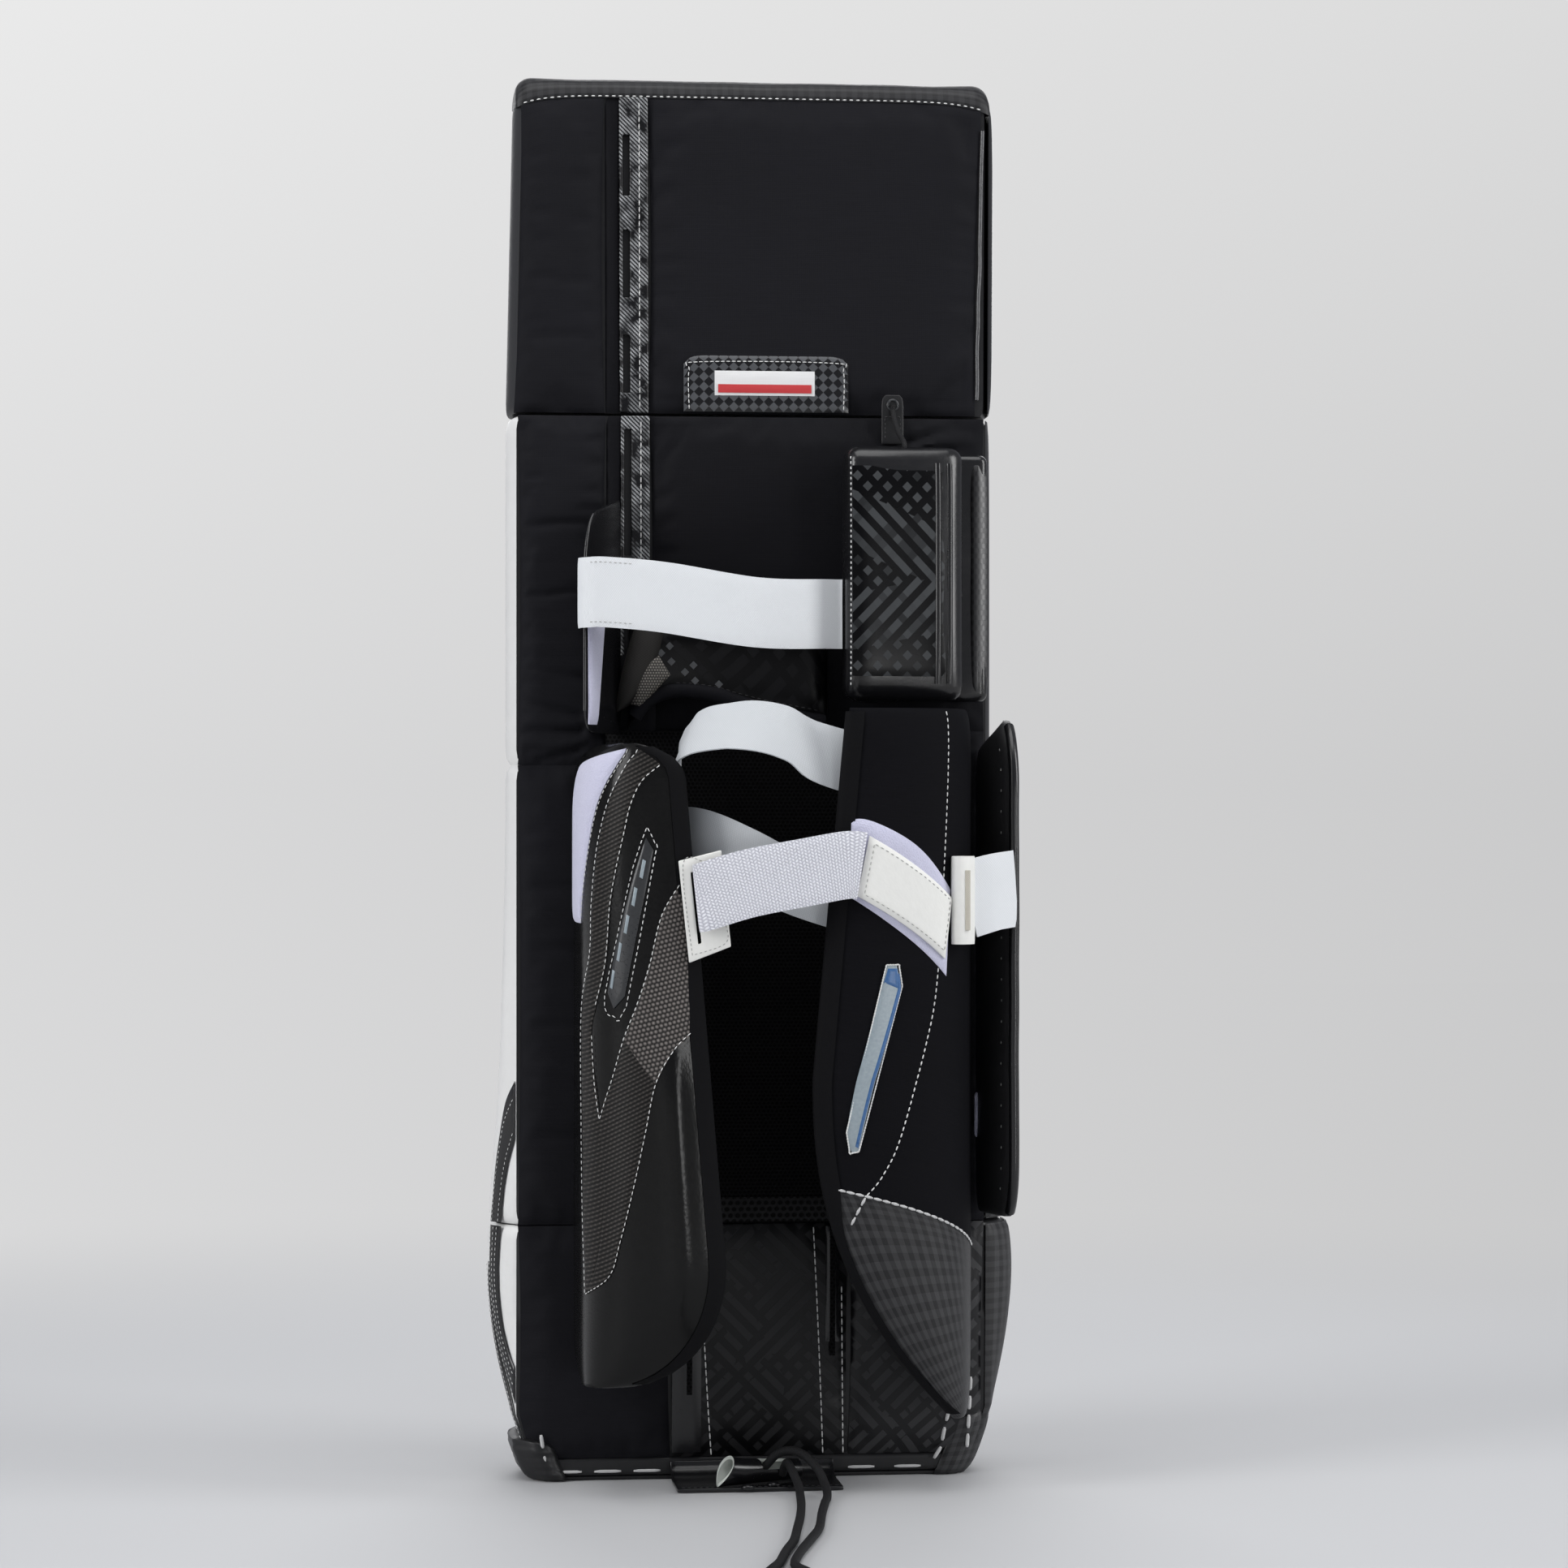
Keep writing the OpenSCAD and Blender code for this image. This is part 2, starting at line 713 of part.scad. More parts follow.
// Elastic loop of the toe: out of the toggle, along the floor, and back into it
cord_route = [
    [-6, -38, 8], [0, -38, 9], [5, -40, 14], [10, -43, 20], [17, -47, 23], [25, -52, 21],
    [32, -59, 14], [35, -68, 7], [35, -80, 4], [33, -95, 3], [30, -110, 3], [24, -145, 3],
    [17, -190, 3], [8, -225, 3], [-1, -258, 3], [-8, -290, 3], [-8, -305, 3], [-4, -320, 3],
    [-3, -335, 3], [-9, -346, 3], [-18, -348, 3], [-26, -340, 3], [-27, -325, 3], [-22, -308, 3],
    [-16, -290, 3], [-9, -258, 3], [-1, -226, 3], [5, -190, 3], [11, -153, 3], [16, -115, 3],
    [19, -85, 3], [20, -68, 6], [18, -57, 12], [16, -48, 16], [15, -42, 13], [14, -38, 8]
];
module toe_cord() {
    path = route([for (p = cord_route) [p[0], p[1] + toggle_y + 38, p[2]]], 2);
    color("#0e0e10") cord(path, cord_d, 8, [0, 0, 1]);
}

// Calf wings: each wall rises from the back, then curls in over the leg

// Outer wing's section at a height, as distances from the centre plane
function outer_section(z) =
    let (
        low = round_off((outer_low + 75 - z) / 75),
        high = round_off((z - outer_top + 20) / 20),
        curl = round_off((z - outer_top + 42) / 42),
        edge = mix(28, 52, (z - outer_low - 75) / (outer_top - outer_low - 75)) + 66 * low + 30 * high,
        depth = channel_d - 22 * low,
        wall_x = outer_wall_x
    )
    [[wall_x, y_seat], [wall_x - 12 * curl, y_back - 0.6 * depth],
        [wall_x + 11 - 10 * high - 20 * curl, y_back - depth - 4],
        [edge, y_back - depth]];

// Inner wing's section at a height
function inner_section(z) =
    let (
        widest = z_boot + 90,
        up = clamp01((z - widest) / (inner_top - widest)),
        down = clamp01((widest - z) / (widest - inner_low)),
        edge = 26 + 19 * up + 84 * pow(down, 2.4),
        depth = channel_d - 3 - 30 * pow(down, 3)
    )
    [[inner_wall_x, y_seat], [inner_wall_x, y_back - 0.6 * depth], [inner_wall_x - 6, y_back - depth - 3],
        [edge, y_back - depth]];

// Point on a wing: side, section, place along the section, height, distance off its middle
function wing_point(side, section, t, z, off) =
    let (
        p = curve(section, t),
        d = curve_dir(section, t)
    )
    [side * (p[0] - d[1] * off), p[1] + d[0] * off, z];
function wing_edge(t, v, t_power, v_power) =
    0.42 + 0.58 * min(pillow((t + 1) / 2, t_power), pillow(v, v_power));

module wing(side, section, height, rows, cols) {
    vs = cosine_span(rows);
    ts = [for (t = span(cols)) 1 - pow(1 - t, 1.4)];
    function layer(sign) = [for (v = vs) [for (t = ts)
        let (z = height(t, v))
        wing_point(side, section(z), t, z, sign * wing_t / 2 * wing_edge(t, v, 14, 16))]];
    slab(layer(1), layer(-1));
}

// Thin patch on the outside of a wing
module wing_patch(side, section, ts, zs, off, thick) {
    function layer(o) = [for (v = span(8)) [for (u = span(10))
        let (z = mix(zs[0], zs[1], v))
        wing_point(side, section(z), mix(ts[0], ts[1], u), z, o)]];
    slab(layer(off + thick), layer(off));
}

outer_wing_section = function (z) outer_section(z);
inner_wing_section = function (z) inner_section(z);

module outer_wing() {
    color("#1a1a1f")
        wing(-1, outer_wing_section, function (t, v) mix(outer_low, outer_top, v), 14, 14);
}

module outer_wing_pile() {
    color("#cfcfe2")
        wing_patch(-1, outer_wing_section, [0.12, 0.52], [outer_top - 104, outer_top - 18],
            wing_t / 2 + sewn, pile_t);
}

// White leather keeper with a slot for the webbing
module strap_keeper() {
    slot = [6, webbing[0] + 2];
    thick = leather_t;
    slant = [0.1, 0.27];
    slot_x = calf_pivot[0] - keeper_x - keeper_w / 2;
    color("#ececf0")
        translate([keeper_x + keeper_w / 2, y_keeper, calf_strap_z])
            difference() {
                multmatrix([[1, 0, -slant[0], 0], [0, 1, 0, 0], [slant[1], 0, 1, 0]])
                    translate([-keeper_w / 2, 0, -keeper_h / 2])
                        cube([keeper_w, thick, keeper_h]);
                translate([slot_x - slot[0] / 2, -1, -slot[1] / 2])
                    cube([slot[0], thick + 2, slot[1]]);
            }
}

// Calf strap: webbing from the keeper, then a leather tab laid on the inner wing's pile
tab_rise = 18;
tab_ts = [0.935, 0.64];
tab_zs = [calf_strap_z + tab_rise, calf_strap_z - 18];
tab_off = wing_t / 2 + sewn + pile_t + fit;
function tab_centre(s, off) =
    let (z = mix(tab_zs[0], tab_zs[1], s))
    wing_point(1, inner_section(z), mix(tab_ts[0], tab_ts[1], s), z, off);

module calf_webbing() {
    joint = tab_centre(0, tab_off + leather_t / 2);
    start = [calf_pivot[0], calf_pivot[1], calf_strap_z];
    path = route([
        start, [start[0] + 4, start[1] - 2, start[2] + 1], mix(start, joint, 0.3) + [0, -6, 3],
        mix(start, joint, 0.65) + [0, -7, 3], joint + [-10, -1.5, 0.5], joint + [-3.2, -0.3, 0]
    ], 4);
    color("#f2f2f5") strap(path, webbing[0], webbing[1]);
}

module calf_strap_tab() {
    slant = 0.015;
    half = webbing[0] / 2 - 1.5;
    function layer(off) = [for (s = span(10)) [for (k = [-1, -0.5, 0, 0.5, 1])
        let (
            z = mix(tab_zs[0], tab_zs[1], s) + k * half,
            t = mix(tab_ts[0], tab_ts[1], s) - k * slant
        )
        wing_point(1, inner_section(z), t, z, off)]];
    color("#eeeef2") slab(layer(tab_off + leather_t), layer(tab_off));
}

// Medial wing: padded wing, its leather flare, and the flap beside them

function flare_line(t) = mix(flare_z[0], flare_z[1], t);

module inner_wing() {
    color("#1d1e23")
        wing(1, inner_wing_section, function (t, v) mix(flare_line(t), inner_top, v), 12, 14);
}

module inner_wing_flare() {
    color("#131316")
        wing(1, inner_wing_section, function (t, v) mix(inner_low, flare_line(t) - sewn, v), 10, 14);
}

module inner_wing_pile() {
    color("#cfcfe2")
        wing_patch(1, inner_wing_section, [0.6, 0.98], [calf_strap_z - 40, calf_strap_z + 38],
            wing_t / 2 + sewn, pile_t);
}

// Corner of the medial flap's root about which the whole medial wing opens
flap_x = pad_w / 2 - 4;
medial_pivot = [flap_x + flap_t / 2, y_seat];

module medial_flap() {
    low = z_boot + 6;
    top = z_knee + 26;
    lean = 9;
    function reach(z) =
        flap_d * (1 - 0.55 * round_off((z - top + 40) / 40) - 0.45 * round_off((low + 30 - z) / 30));
    zs = [for (v = cosine_span(12)) mix(low, top, v)];
    function layer(sign) = [for (z = zs) [for (u = span(8))
        let (v = (z - low) / (top - low))
        [
            flap_x + lean * pow(u, 1.5) + sign * flap_t / 2 * wing_edge(u, v, 8, 16),
            y_seat - reach(z) * u,
            z
        ]]];
    color("#151518") slab(layer(1), layer(-1));
}

// Flattened leather loop outside the inner wing's corner, and the elastic that draws it to the flap
loop_t = 0.55;
loop_size = [16, 11];
loop_h = 50;
loop_z = calf_strap_z - 2;
loop_base = inner_section(loop_z);
loop_dir = curve_dir(loop_base, loop_t);
loop_off = wing_t / 2 + fit + loop_size[1] / 2;
loop_mid = curve(loop_base, loop_t) + loop_off * [-loop_dir[1], loop_dir[0]];
function racetrack(size, steps) =
    let (r = size[1] / 2)
    [for (end = [1, -1]) for (a = span(steps))
        let (angle = -90 + 180 * a)
        [end * (size[0] / 2 - r + r * cos(angle)), end * r * sin(angle)]];
function on_loop(p) = loop_mid + p[0] * loop_dir + p[1] * [-loop_dir[1], loop_dir[0]];

module keeper_loop() {
    wall_t = 2;
    inner = [loop_size[0] - 2 * wall_t, loop_size[1] - 2 * wall_t];
    color("#ededf1")
        translate([0, 0, loop_z - loop_h / 2])
            linear_extrude(loop_h)
                difference() {
                    polygon([for (p = racetrack(loop_size, 8)) on_loop(p)]);
                    polygon([for (p = racetrack(inner, 8)) on_loop(p)]);
                }
}

module keeper_elastic() {
    width = 44;
    start = on_loop([-loop_size[0] / 2 - elastic[1] - sewn, 0]);
    flap_end = [flap_x + 9, y_seat - flap_d - elastic[1]];
    path = route([
        [start[0], start[1], loop_z],
        [mix(start[0], flap_end[0], 0.5), mix(start[1], flap_end[1], 0.5) - 3, loop_z + 1],
        [flap_end[0], flap_end[1], loop_z + 2]
    ], 4);
    color("#f0f0f4") strap(path, width, elastic[1]);
}

// Knee block: a box cushion on a flatter base layer, hung from the inner edge

function rounded_loop(x0, x1, y0, y1, r) = [
    for (corner = [[x0 + r, y1 - r, 180], [x1 - r, y1 - r, 90], [x1 - r, y0 + r, 0], [x0 + r, y0 + r, -90]])
        for (a = [0, 30, 60, 90])
            [corner[0] + r * cos(corner[2] - a), corner[1] + r * sin(corner[2] - a)]
];

// Box cushion with rounded edges, a crowned rear face and a rear face that may slope away
module box_cushion(x0, x1, y0, y1, z0, z1, r, crown, slope) {
    zs = concat(
        [for (a = [90:-30:0]) z0 + r * (1 - sin(a))],
        [for (v = [0.2, 0.4, 0.6, 0.8]) mix(z0 + r, z1 - r, v)],
        [for (a = [0:30:90]) z1 - r * (1 - sin(a))]
    );
    loft([for (z = zs)
        let (
            s = max(0, z0 + r - z, z - z1 + r) / r,
            inset = r * round_off(s) * 0.85,
            v = (z - z0) / (z1 - z0)
        )
        [for (p = rounded_loop(x0 + inset, x1 - inset, y0 + inset, y1, r - inset * 0.6))
            let (
                u = (p[0] - x0) / (x1 - x0),
                rear = (y1 - p[1]) / (y1 - y0)
            )
            [p[0], p[1] + rear * (slope * u - crown * pillow(u, 4) * pillow(v, 4)), z]]]);
}

module knee_block_pad() {
    color("#121215")
        box_cushion(knee_block_left, knee_block_left + knee_block[0],
            y_knee_block + crown_h, y_knee_base - fit,
            knee_block_z, knee_block_z + knee_block[2], 9, crown_h, 14);
}

module knee_block_base() {
    color("#1a1a1e")
        box_cushion(knee_block_left + 10, knee_base_right, y_knee_base, y_seat,
            knee_block_z, knee_block_z + knee_block[2] - 3, 5, 0, 0);
}
knee_block_pivot = [knee_base_right, y_seat];

// Knee strap from the knee block to a hooked end round the outer knee wing

function knee_wing_at(along, off) = [
    -knee_wing_x - along * sin(knee_wing_lean) - off * cos(knee_wing_lean),
    y_seat - along * cos(knee_wing_lean) + (off - knee_wing[1] / 2) * sin(knee_wing_lean)
];
knee_strap_pivot = [knee_block_left - fit - elastic[1] / 2, y_knee_block + 16];
function knee_strap_path() =
    let (
        tip = knee_wing_at(knee_wing[0], 0),
        tail = knee_wing_at(knee_wing[0] - 4, knee_wing[1] / 2 + pile_t + 6)
    )
    route([
        [knee_strap_pivot[0], knee_strap_pivot[1], strap_z - 5],
        [knee_strap_pivot[0] - 8, knee_strap_pivot[1] - 1.5, strap_z - 5],
        [mix(knee_strap_pivot[0], tip[0], 0.35), tip[1] - 9, strap_z - 5],
        [mix(knee_strap_pivot[0], tip[0], 0.7), tip[1] - 14, strap_z + 3],
        [tip[0] + 12, tip[1] - 13, strap_z + 6],
        [tip[0] - 1, tip[1] - 8, strap_z + 6],
        [tail[0] - 1.5, tail[1] - 4, strap_z + 6],
        [tail[0], tail[1] + 4, strap_z + 6]
    ], 4);

module knee_strap() {
    color("#f1f1f6") strap(knee_strap_path(), elastic[0], elastic[1]);
}

// Hook tape inside the strap's hooked end
module knee_hook_tape() {
    path = knee_strap_path();
    first = len(path) - 7;
    off = elastic[1] / 2 + sewn + pile_t / 2;
    inner = [for (i = [first:len(path) - 1])
        path[i] + off * unit(cross(route_dir(path, i), [0, 0, 1]))];
    color("#1a1a1d") strap(inner, elastic[0] - 4, pile_t);
}

// Outer knee wing, a thin padded wing that leans outward, with pile on the side towards the knee
module outer_knee_wing() {
    function layer(sign) = [for (v = cosine_span(12)) [for (u = span(6))
        let (
            top_cut = 0.4 * round_off((v - 0.7) / 0.3),
            low_cut = 0.25 * round_off((0.12 - v) / 0.12),
            reach = knee_wing[0] * (1 - top_cut - low_cut),
            p = knee_wing_at(reach * u, sign * knee_wing[1] / 2 * wing_edge(u, v, 8, 16))
        )
        [p[0], p[1], mix(knee_wing_z, knee_wing_z + knee_wing_h, v)]]];
    color("#18181b") slab(layer(1), layer(-1));
}

module knee_wing_pile() {
    margin = 6;
    inner = [36, 22];
    off = -knee_wing[1] / 2 - sewn;
    zs = [knee_wing_z + margin, knee_wing_z + knee_wing_h * 0.68];
    function layer(o) = [for (i = [0, 1])
        [for (along = [inner[i], knee_wing[0] - 2])
            let (p = knee_wing_at(along, o))
            [p[0], p[1], zs[i]]]];
    color("#d3d3e6") slab(layer(off - pile_t), layer(off));
}

// Axes of the joints, for reference
echo(y_back = y_back, y_face = y_face, y_seat = y_seat, z_boot = z_boot, z_thigh = z_thigh);
echo(outer_wing_pivot = [-outer_wall_x - wing_t / 2, y_seat], calf_pivot = calf_pivot);
echo(medial_pivot = medial_pivot, knee_block_pivot = knee_block_pivot);
echo(knee_strap_pivot = knee_strap_pivot, knee_wing_pivot = knee_wing_pivot);
echo(loop_mid = loop_mid, loop_z = loop_z, loop_dir = loop_dir);

shin_core();
shin_face();
medial_gusset();
knee_outer_panel();
shin_outer_panel();
shin_inner_panel();
knee_panel();
leg_liner();
knee_lace_strip();
knee_cradle();
cord_anchor();
upper_elastic();
lower_elastic();
knee_cord();
thigh_core();
thigh_face();
thigh_outer_panel();
thigh_panel();
thigh_lace_strip();
top_cap();
label_patch();
sole();
boot_core();
boot_face();
toe_binding();
boot_outer_panel();
boot_channel();
boot_inner_panel();
outer_toe_corner();
inner_toe_corner();
bottom_lace();
toe_bridge();
toe_toggle();
toe_cord();
outer_wing();
outer_wing_pile();
strap_keeper();
calf_webbing();
calf_strap_tab();
inner_wing();
inner_wing_flare();
inner_wing_pile();
medial_flap();
keeper_elastic();
keeper_loop();
knee_block_pad();
knee_block_base();
knee_strap();
knee_hook_tape();
outer_knee_wing();
knee_wing_pile();
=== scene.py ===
"""Looks of a goalie leg pad seen from behind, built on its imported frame."""

import math

import bmesh
import bpy
from mathutils import Matrix, Vector, noise
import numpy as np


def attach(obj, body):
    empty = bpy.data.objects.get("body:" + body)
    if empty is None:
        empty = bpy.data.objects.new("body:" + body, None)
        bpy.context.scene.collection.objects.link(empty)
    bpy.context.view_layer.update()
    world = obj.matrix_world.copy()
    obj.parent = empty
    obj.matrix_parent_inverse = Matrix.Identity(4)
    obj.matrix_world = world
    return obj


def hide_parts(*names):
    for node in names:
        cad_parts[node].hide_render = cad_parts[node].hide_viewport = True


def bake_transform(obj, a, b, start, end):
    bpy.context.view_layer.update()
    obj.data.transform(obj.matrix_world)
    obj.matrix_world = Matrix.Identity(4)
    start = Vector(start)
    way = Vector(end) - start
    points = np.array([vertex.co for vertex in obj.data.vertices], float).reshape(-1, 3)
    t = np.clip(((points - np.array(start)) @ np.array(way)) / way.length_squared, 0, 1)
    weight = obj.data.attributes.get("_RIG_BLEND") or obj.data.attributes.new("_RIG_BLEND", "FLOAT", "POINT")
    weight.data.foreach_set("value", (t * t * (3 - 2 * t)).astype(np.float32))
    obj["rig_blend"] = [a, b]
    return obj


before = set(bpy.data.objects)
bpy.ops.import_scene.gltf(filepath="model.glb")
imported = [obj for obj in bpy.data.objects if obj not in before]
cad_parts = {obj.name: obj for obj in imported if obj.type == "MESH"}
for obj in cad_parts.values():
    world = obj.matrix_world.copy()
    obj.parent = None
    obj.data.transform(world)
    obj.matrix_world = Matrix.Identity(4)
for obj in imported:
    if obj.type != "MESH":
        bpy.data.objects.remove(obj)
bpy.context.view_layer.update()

# Sizes of the pad, in millimetres
MM = 0.001
PAD_W, FLARE_W, TOE_W = 280, 306, 250
PAD_T, THIGH_T, TOE_KICK, CORNER_R = 58, 50, 6, 22
Z_BOOT, Z_KNEE, Z_THIGH, Z_TOP, CAP_H = 150, 418, 622, 808, 14
Y_BACK, Y_FACE, Y_THIGH, Y_SEAT = -35, 23, -27, -40.3
THIGH_LEAN = math.radians(2)
PANEL_T, CROWN, BREAK = 6, 5, 0.6
BOOT_TOP, SHIN_LOW = Z_BOOT - BREAK / 2, Z_BOOT + BREAK / 2
SHIN_TOP, THIGH_LOW = Z_THIGH - BREAK / 2, Z_THIGH + BREAK / 2
SIDE_RUN, SIDE_BULGE, THIGH_SWAY, THIGH_TAPER = 24, 2.6, 1.8, 2.6
OUTER_SEAM_X, STRIP_X, INNER_SEAM_X, KNEE_SEAM_Z = -86, -60, 97, 438
CHANNEL_LEFT, CHANNEL_RIGHT = -48, 57
SOLE_T, BINDING_H = 3, 10
WING_T, CHANNEL_D = 12, 100
OUTER_LOW, OUTER_TOP, INNER_LOW, INNER_TOP = 66, 430, 44, 450
FLARE_LOW, FLARE_HIGH = 124, 180
FLAP_X, FLAP_D, FLAP_T = 136, 57, 9
BLOCK_LEFT, BLOCK_W, BLOCK_H, BLOCK_Z = 49, 66, 143, 455
BLOCK_SLOPE, BASE_RIGHT, Y_BASE, Y_BLOCK = 14, 136, -58.3, -92.6
KNEE_WING_X, KNEE_WING_Z, KNEE_WING_D, KNEE_WING_H, KNEE_WING_T = 80, 436, 52, 128, 5
KNEE_WING_LEAN = math.radians(25)
STRAP_Z, CALF_STRAP_Z = 510, 343
ELASTIC_W, ELASTIC_T, WEBBING_W, WEBBING_T = 40, 1.6, 38, 2
LEATHER_T, PILE_T = 2.4, 1.6
TOGGLE_Y, CORD_D, KNEE_CORD_D = -67, 5, 3

REARWARD = (0, -1, 0)
scene = bpy.context.scene
scene.view_settings.view_transform = "Standard"


# Small helpers for numbers and lines

def clamp(t):
    return max(0.0, min(1.0, t))


def mix(a, b, t):
    return a + (b - a) * t


def evenly(low, high, count):
    return [mix(low, high, i / count) for i in range(count + 1)]


def round_off(s):
    """How far a rounded corner has cut in, from 0 where it starts to 1 at its end."""
    return 1 - math.sqrt(1 - clamp(s) ** 2)


def pillow(t, power):
    """Section of a stuffed form, 0 at both edges and 1 in the middle."""
    return math.sqrt(max(0.0, 1 - abs(2 * t - 1) ** power))


def slow_ends(v):
    """The same share of a way, in smaller steps towards both ends."""
    return 0.5 - 0.5 * math.cos(math.pi * v)


def route(points, steps):
    """Smooth line through a short list of points."""
    p = [Vector(q) for q in points]
    line = []
    for i in range(len(p) - 1):
        a, b, c, d = p[max(0, i - 1)], p[i], p[i + 1], p[min(len(p) - 1, i + 2)]
        for k in range(steps):
            t = k / steps
            line.append(0.5 * (2 * b + (c - a) * t + (2 * a - 5 * b + 4 * c - d) * t ** 2
                               + (3 * b - a - 3 * c + d) * t ** 3))
    line.append(p[-1])
    return line


def run_length(line):
    return sum((b - a).length for a, b in zip(line, line[1:]))


def spaced(line, count):
    """The same line with equal steps between its points."""
    lengths = [0.0]
    for a, b in zip(line, line[1:]):
        lengths.append(lengths[-1] + (b - a).length)
    made, i = [], 0
    for k in range(count + 1):
        s = lengths[-1] * k / count
        while i < len(line) - 2 and lengths[i + 1] < s:
            i += 1
        share = (s - lengths[i]) / max(1e-9, lengths[i + 1] - lengths[i])
        made.append(line[i].lerp(line[i + 1], clamp(share)))
    return made


def at(line, t):
    """Point at a share of the way along an evenly spaced line."""
    s = clamp(t) * (len(line) - 1)
    i = min(int(s), len(line) - 2)
    return line[i].lerp(line[i + 1], s - i)


def way_at(path, i):
    """Direction of a line at one of its points."""
    return (path[min(len(path) - 1, i + 1)] - path[max(0, i - 1)]).normalized()


# Outline and surfaces of the pad, as the solids have them

def half_w(z):
    if z < Z_BOOT:
        return mix(TOE_W, FLARE_W, math.sin(math.pi / 2 * clamp(z / (0.88 * Z_BOOT))) ** 0.8) / 2
    stuffing = SIDE_BULGE * clamp((z - 230) / 110)
    return mix(PAD_W, FLARE_W, (1 - clamp((z - Z_BOOT) / (0.85 * (Z_KNEE - Z_BOOT)))) ** 1.5) / 2 + stuffing


def kick(z):
    return TOE_KICK * (1 - clamp(z / Z_BOOT)) ** 1.5


def leaned(p):
    """A point of the thigh section, which leans forward from the thigh break."""
    y, z = p[1] - Y_FACE, p[2] - Z_THIGH
    c, s = math.cos(THIGH_LEAN), math.sin(THIGH_LEAN)
    return Vector((p[0], Y_FACE + y * c + z * s, Z_THIGH - y * s + z * c))


def cubic(p, t):
    a, b = (1 - t) ** 3, 3 * (1 - t) ** 2 * t
    c, d = 3 * (1 - t) * t * t, t ** 3
    return a * p[0] + b * p[1] + c * p[2] + d * p[3]


def cubic_way(p, t):
    way = (1 - t) ** 2 * (p[1] - p[0]) + 2 * (1 - t) * t * (p[2] - p[1]) + t * t * (p[3] - p[2])
    return way.normalized()


def outer_section(z):
    """Level section of the outer calf wing, as the four points of a curve."""
    root, foot, crest, curl_h = 99, 75, 20, 42
    low = round_off((OUTER_LOW + foot - z) / foot)
    high = round_off((z - OUTER_TOP + crest) / crest)
    curl = round_off((z - OUTER_TOP + curl_h) / curl_h)
    rise = (z - OUTER_LOW - foot) / (OUTER_TOP - OUTER_LOW - foot)
    edge = mix(28, 52, rise) + 66 * low + 30 * high
    depth = CHANNEL_D - 22 * low
    return [Vector((root, Y_SEAT)), Vector((root - 12 * curl, Y_BACK - 0.6 * depth)),
            Vector((110 - 10 * high - 20 * curl, Y_BACK - depth - 4)), Vector((edge, Y_BACK - depth))]


def inner_section(z):
    """Level section of the medial calf wing, as the four points of a curve."""
    root, widest = 119, Z_BOOT + 90
    up = clamp((z - widest) / (INNER_TOP - widest))
    down = clamp((widest - z) / (widest - INNER_LOW))
    edge = 26 + 19 * up + 84 * down ** 2.4
    depth = CHANNEL_D - 3 - 30 * down ** 3
    return [Vector((root, Y_SEAT)), Vector((root, Y_BACK - 0.6 * depth)),
            Vector((113, Y_BACK - depth - 3)), Vector((edge, Y_BACK - depth))]


def wing_point(side, section, t, z, off):
    p, way = cubic(section, t), cubic_way(section, t)
    return Vector((side * (p.x - way.y * off), p.y + way.x * off, z))


def wing_edge(t, v):
    """Share of a wing's thickness, rounded off at its free edge, top and foot."""
    return 0.36 + 0.64 * min(pillow((t + 1) / 2, 14), pillow(v, 16))


def edge_roll(side, t, z):
    """Extra stuffing of the outer wing along the lower part of its free edge."""
    if side > 0:
        return 0.0
    height, middle, spread = 4.2, 0.9, 0.042
    upright_share = clamp((290 - z) / 60) * clamp((z - 95) / 40)
    return height * math.exp(-((t - middle) / spread) ** 2) * upright_share


def outer_wing_at(t, z, off):
    edge = wing_edge(t, (z - OUTER_LOW) / (OUTER_TOP - OUTER_LOW))
    return wing_point(-1, outer_section(z), t, z, WING_T / 2 * edge + edge_roll(-1, t, z) + off)


def inner_wing_at(t, z, off):
    edge = wing_edge(t, (z - INNER_LOW) / (INNER_TOP - INNER_LOW))
    return wing_point(1, inner_section(z), t, z, WING_T / 2 * edge + off)


def thigh_back(x, z, off):
    return leaned((x, Y_THIGH - off, z))


def shin_back(x, z, off):
    return Vector((x, Y_BACK - off, z))


def boot_back(x, z, off):
    return Vector((x, Y_BACK + kick(z) - off, z))


def rear_w(z):
    """Half width of the back, narrower than the sides where these swell out."""
    return min(half_w(z) - 2, PAD_W / 2 - 2)


def wall_x(y, z):
    """Half width at a depth: the sides swell out from the back edge."""
    return mix(rear_w(z), half_w(z), math.sin(math.pi / 2 * clamp((y - Y_BACK) / SIDE_RUN)))


def outer_wall(y, z, off):
    return Vector((-wall_x(y, z) - off, y + kick(z), z))


def inner_wall(y, z, off):
    return Vector((wall_x(y, z) + off, y + kick(z), z))


def thigh_share(z):
    return clamp((z - Z_THIGH) / (Z_TOP - Z_THIGH))


def thigh_inner_wall(y, z, off):
    return leaned((wall_x(y, z) + THIGH_SWAY * thigh_share(z) + off, y, z))


def knee_wing_at(along, z, off):
    c, s = math.cos(KNEE_WING_LEAN), math.sin(KNEE_WING_LEAN)
    return Vector((-KNEE_WING_X - along * s - off * c,
                   Y_SEAT - along * c + (off - KNEE_WING_T / 2) * s, z))


# Meshes: each is made in millimetres and keeps its place along its own surface

LAYERS = ("u", "v", "across", "along")


def new_mesh():
    bm = bmesh.new()
    for layer in LAYERS:
        bm.verts.layers.float.new(layer)
    return bm


def layers(bm):
    return [bm.verts.layers.float[layer] for layer in LAYERS]


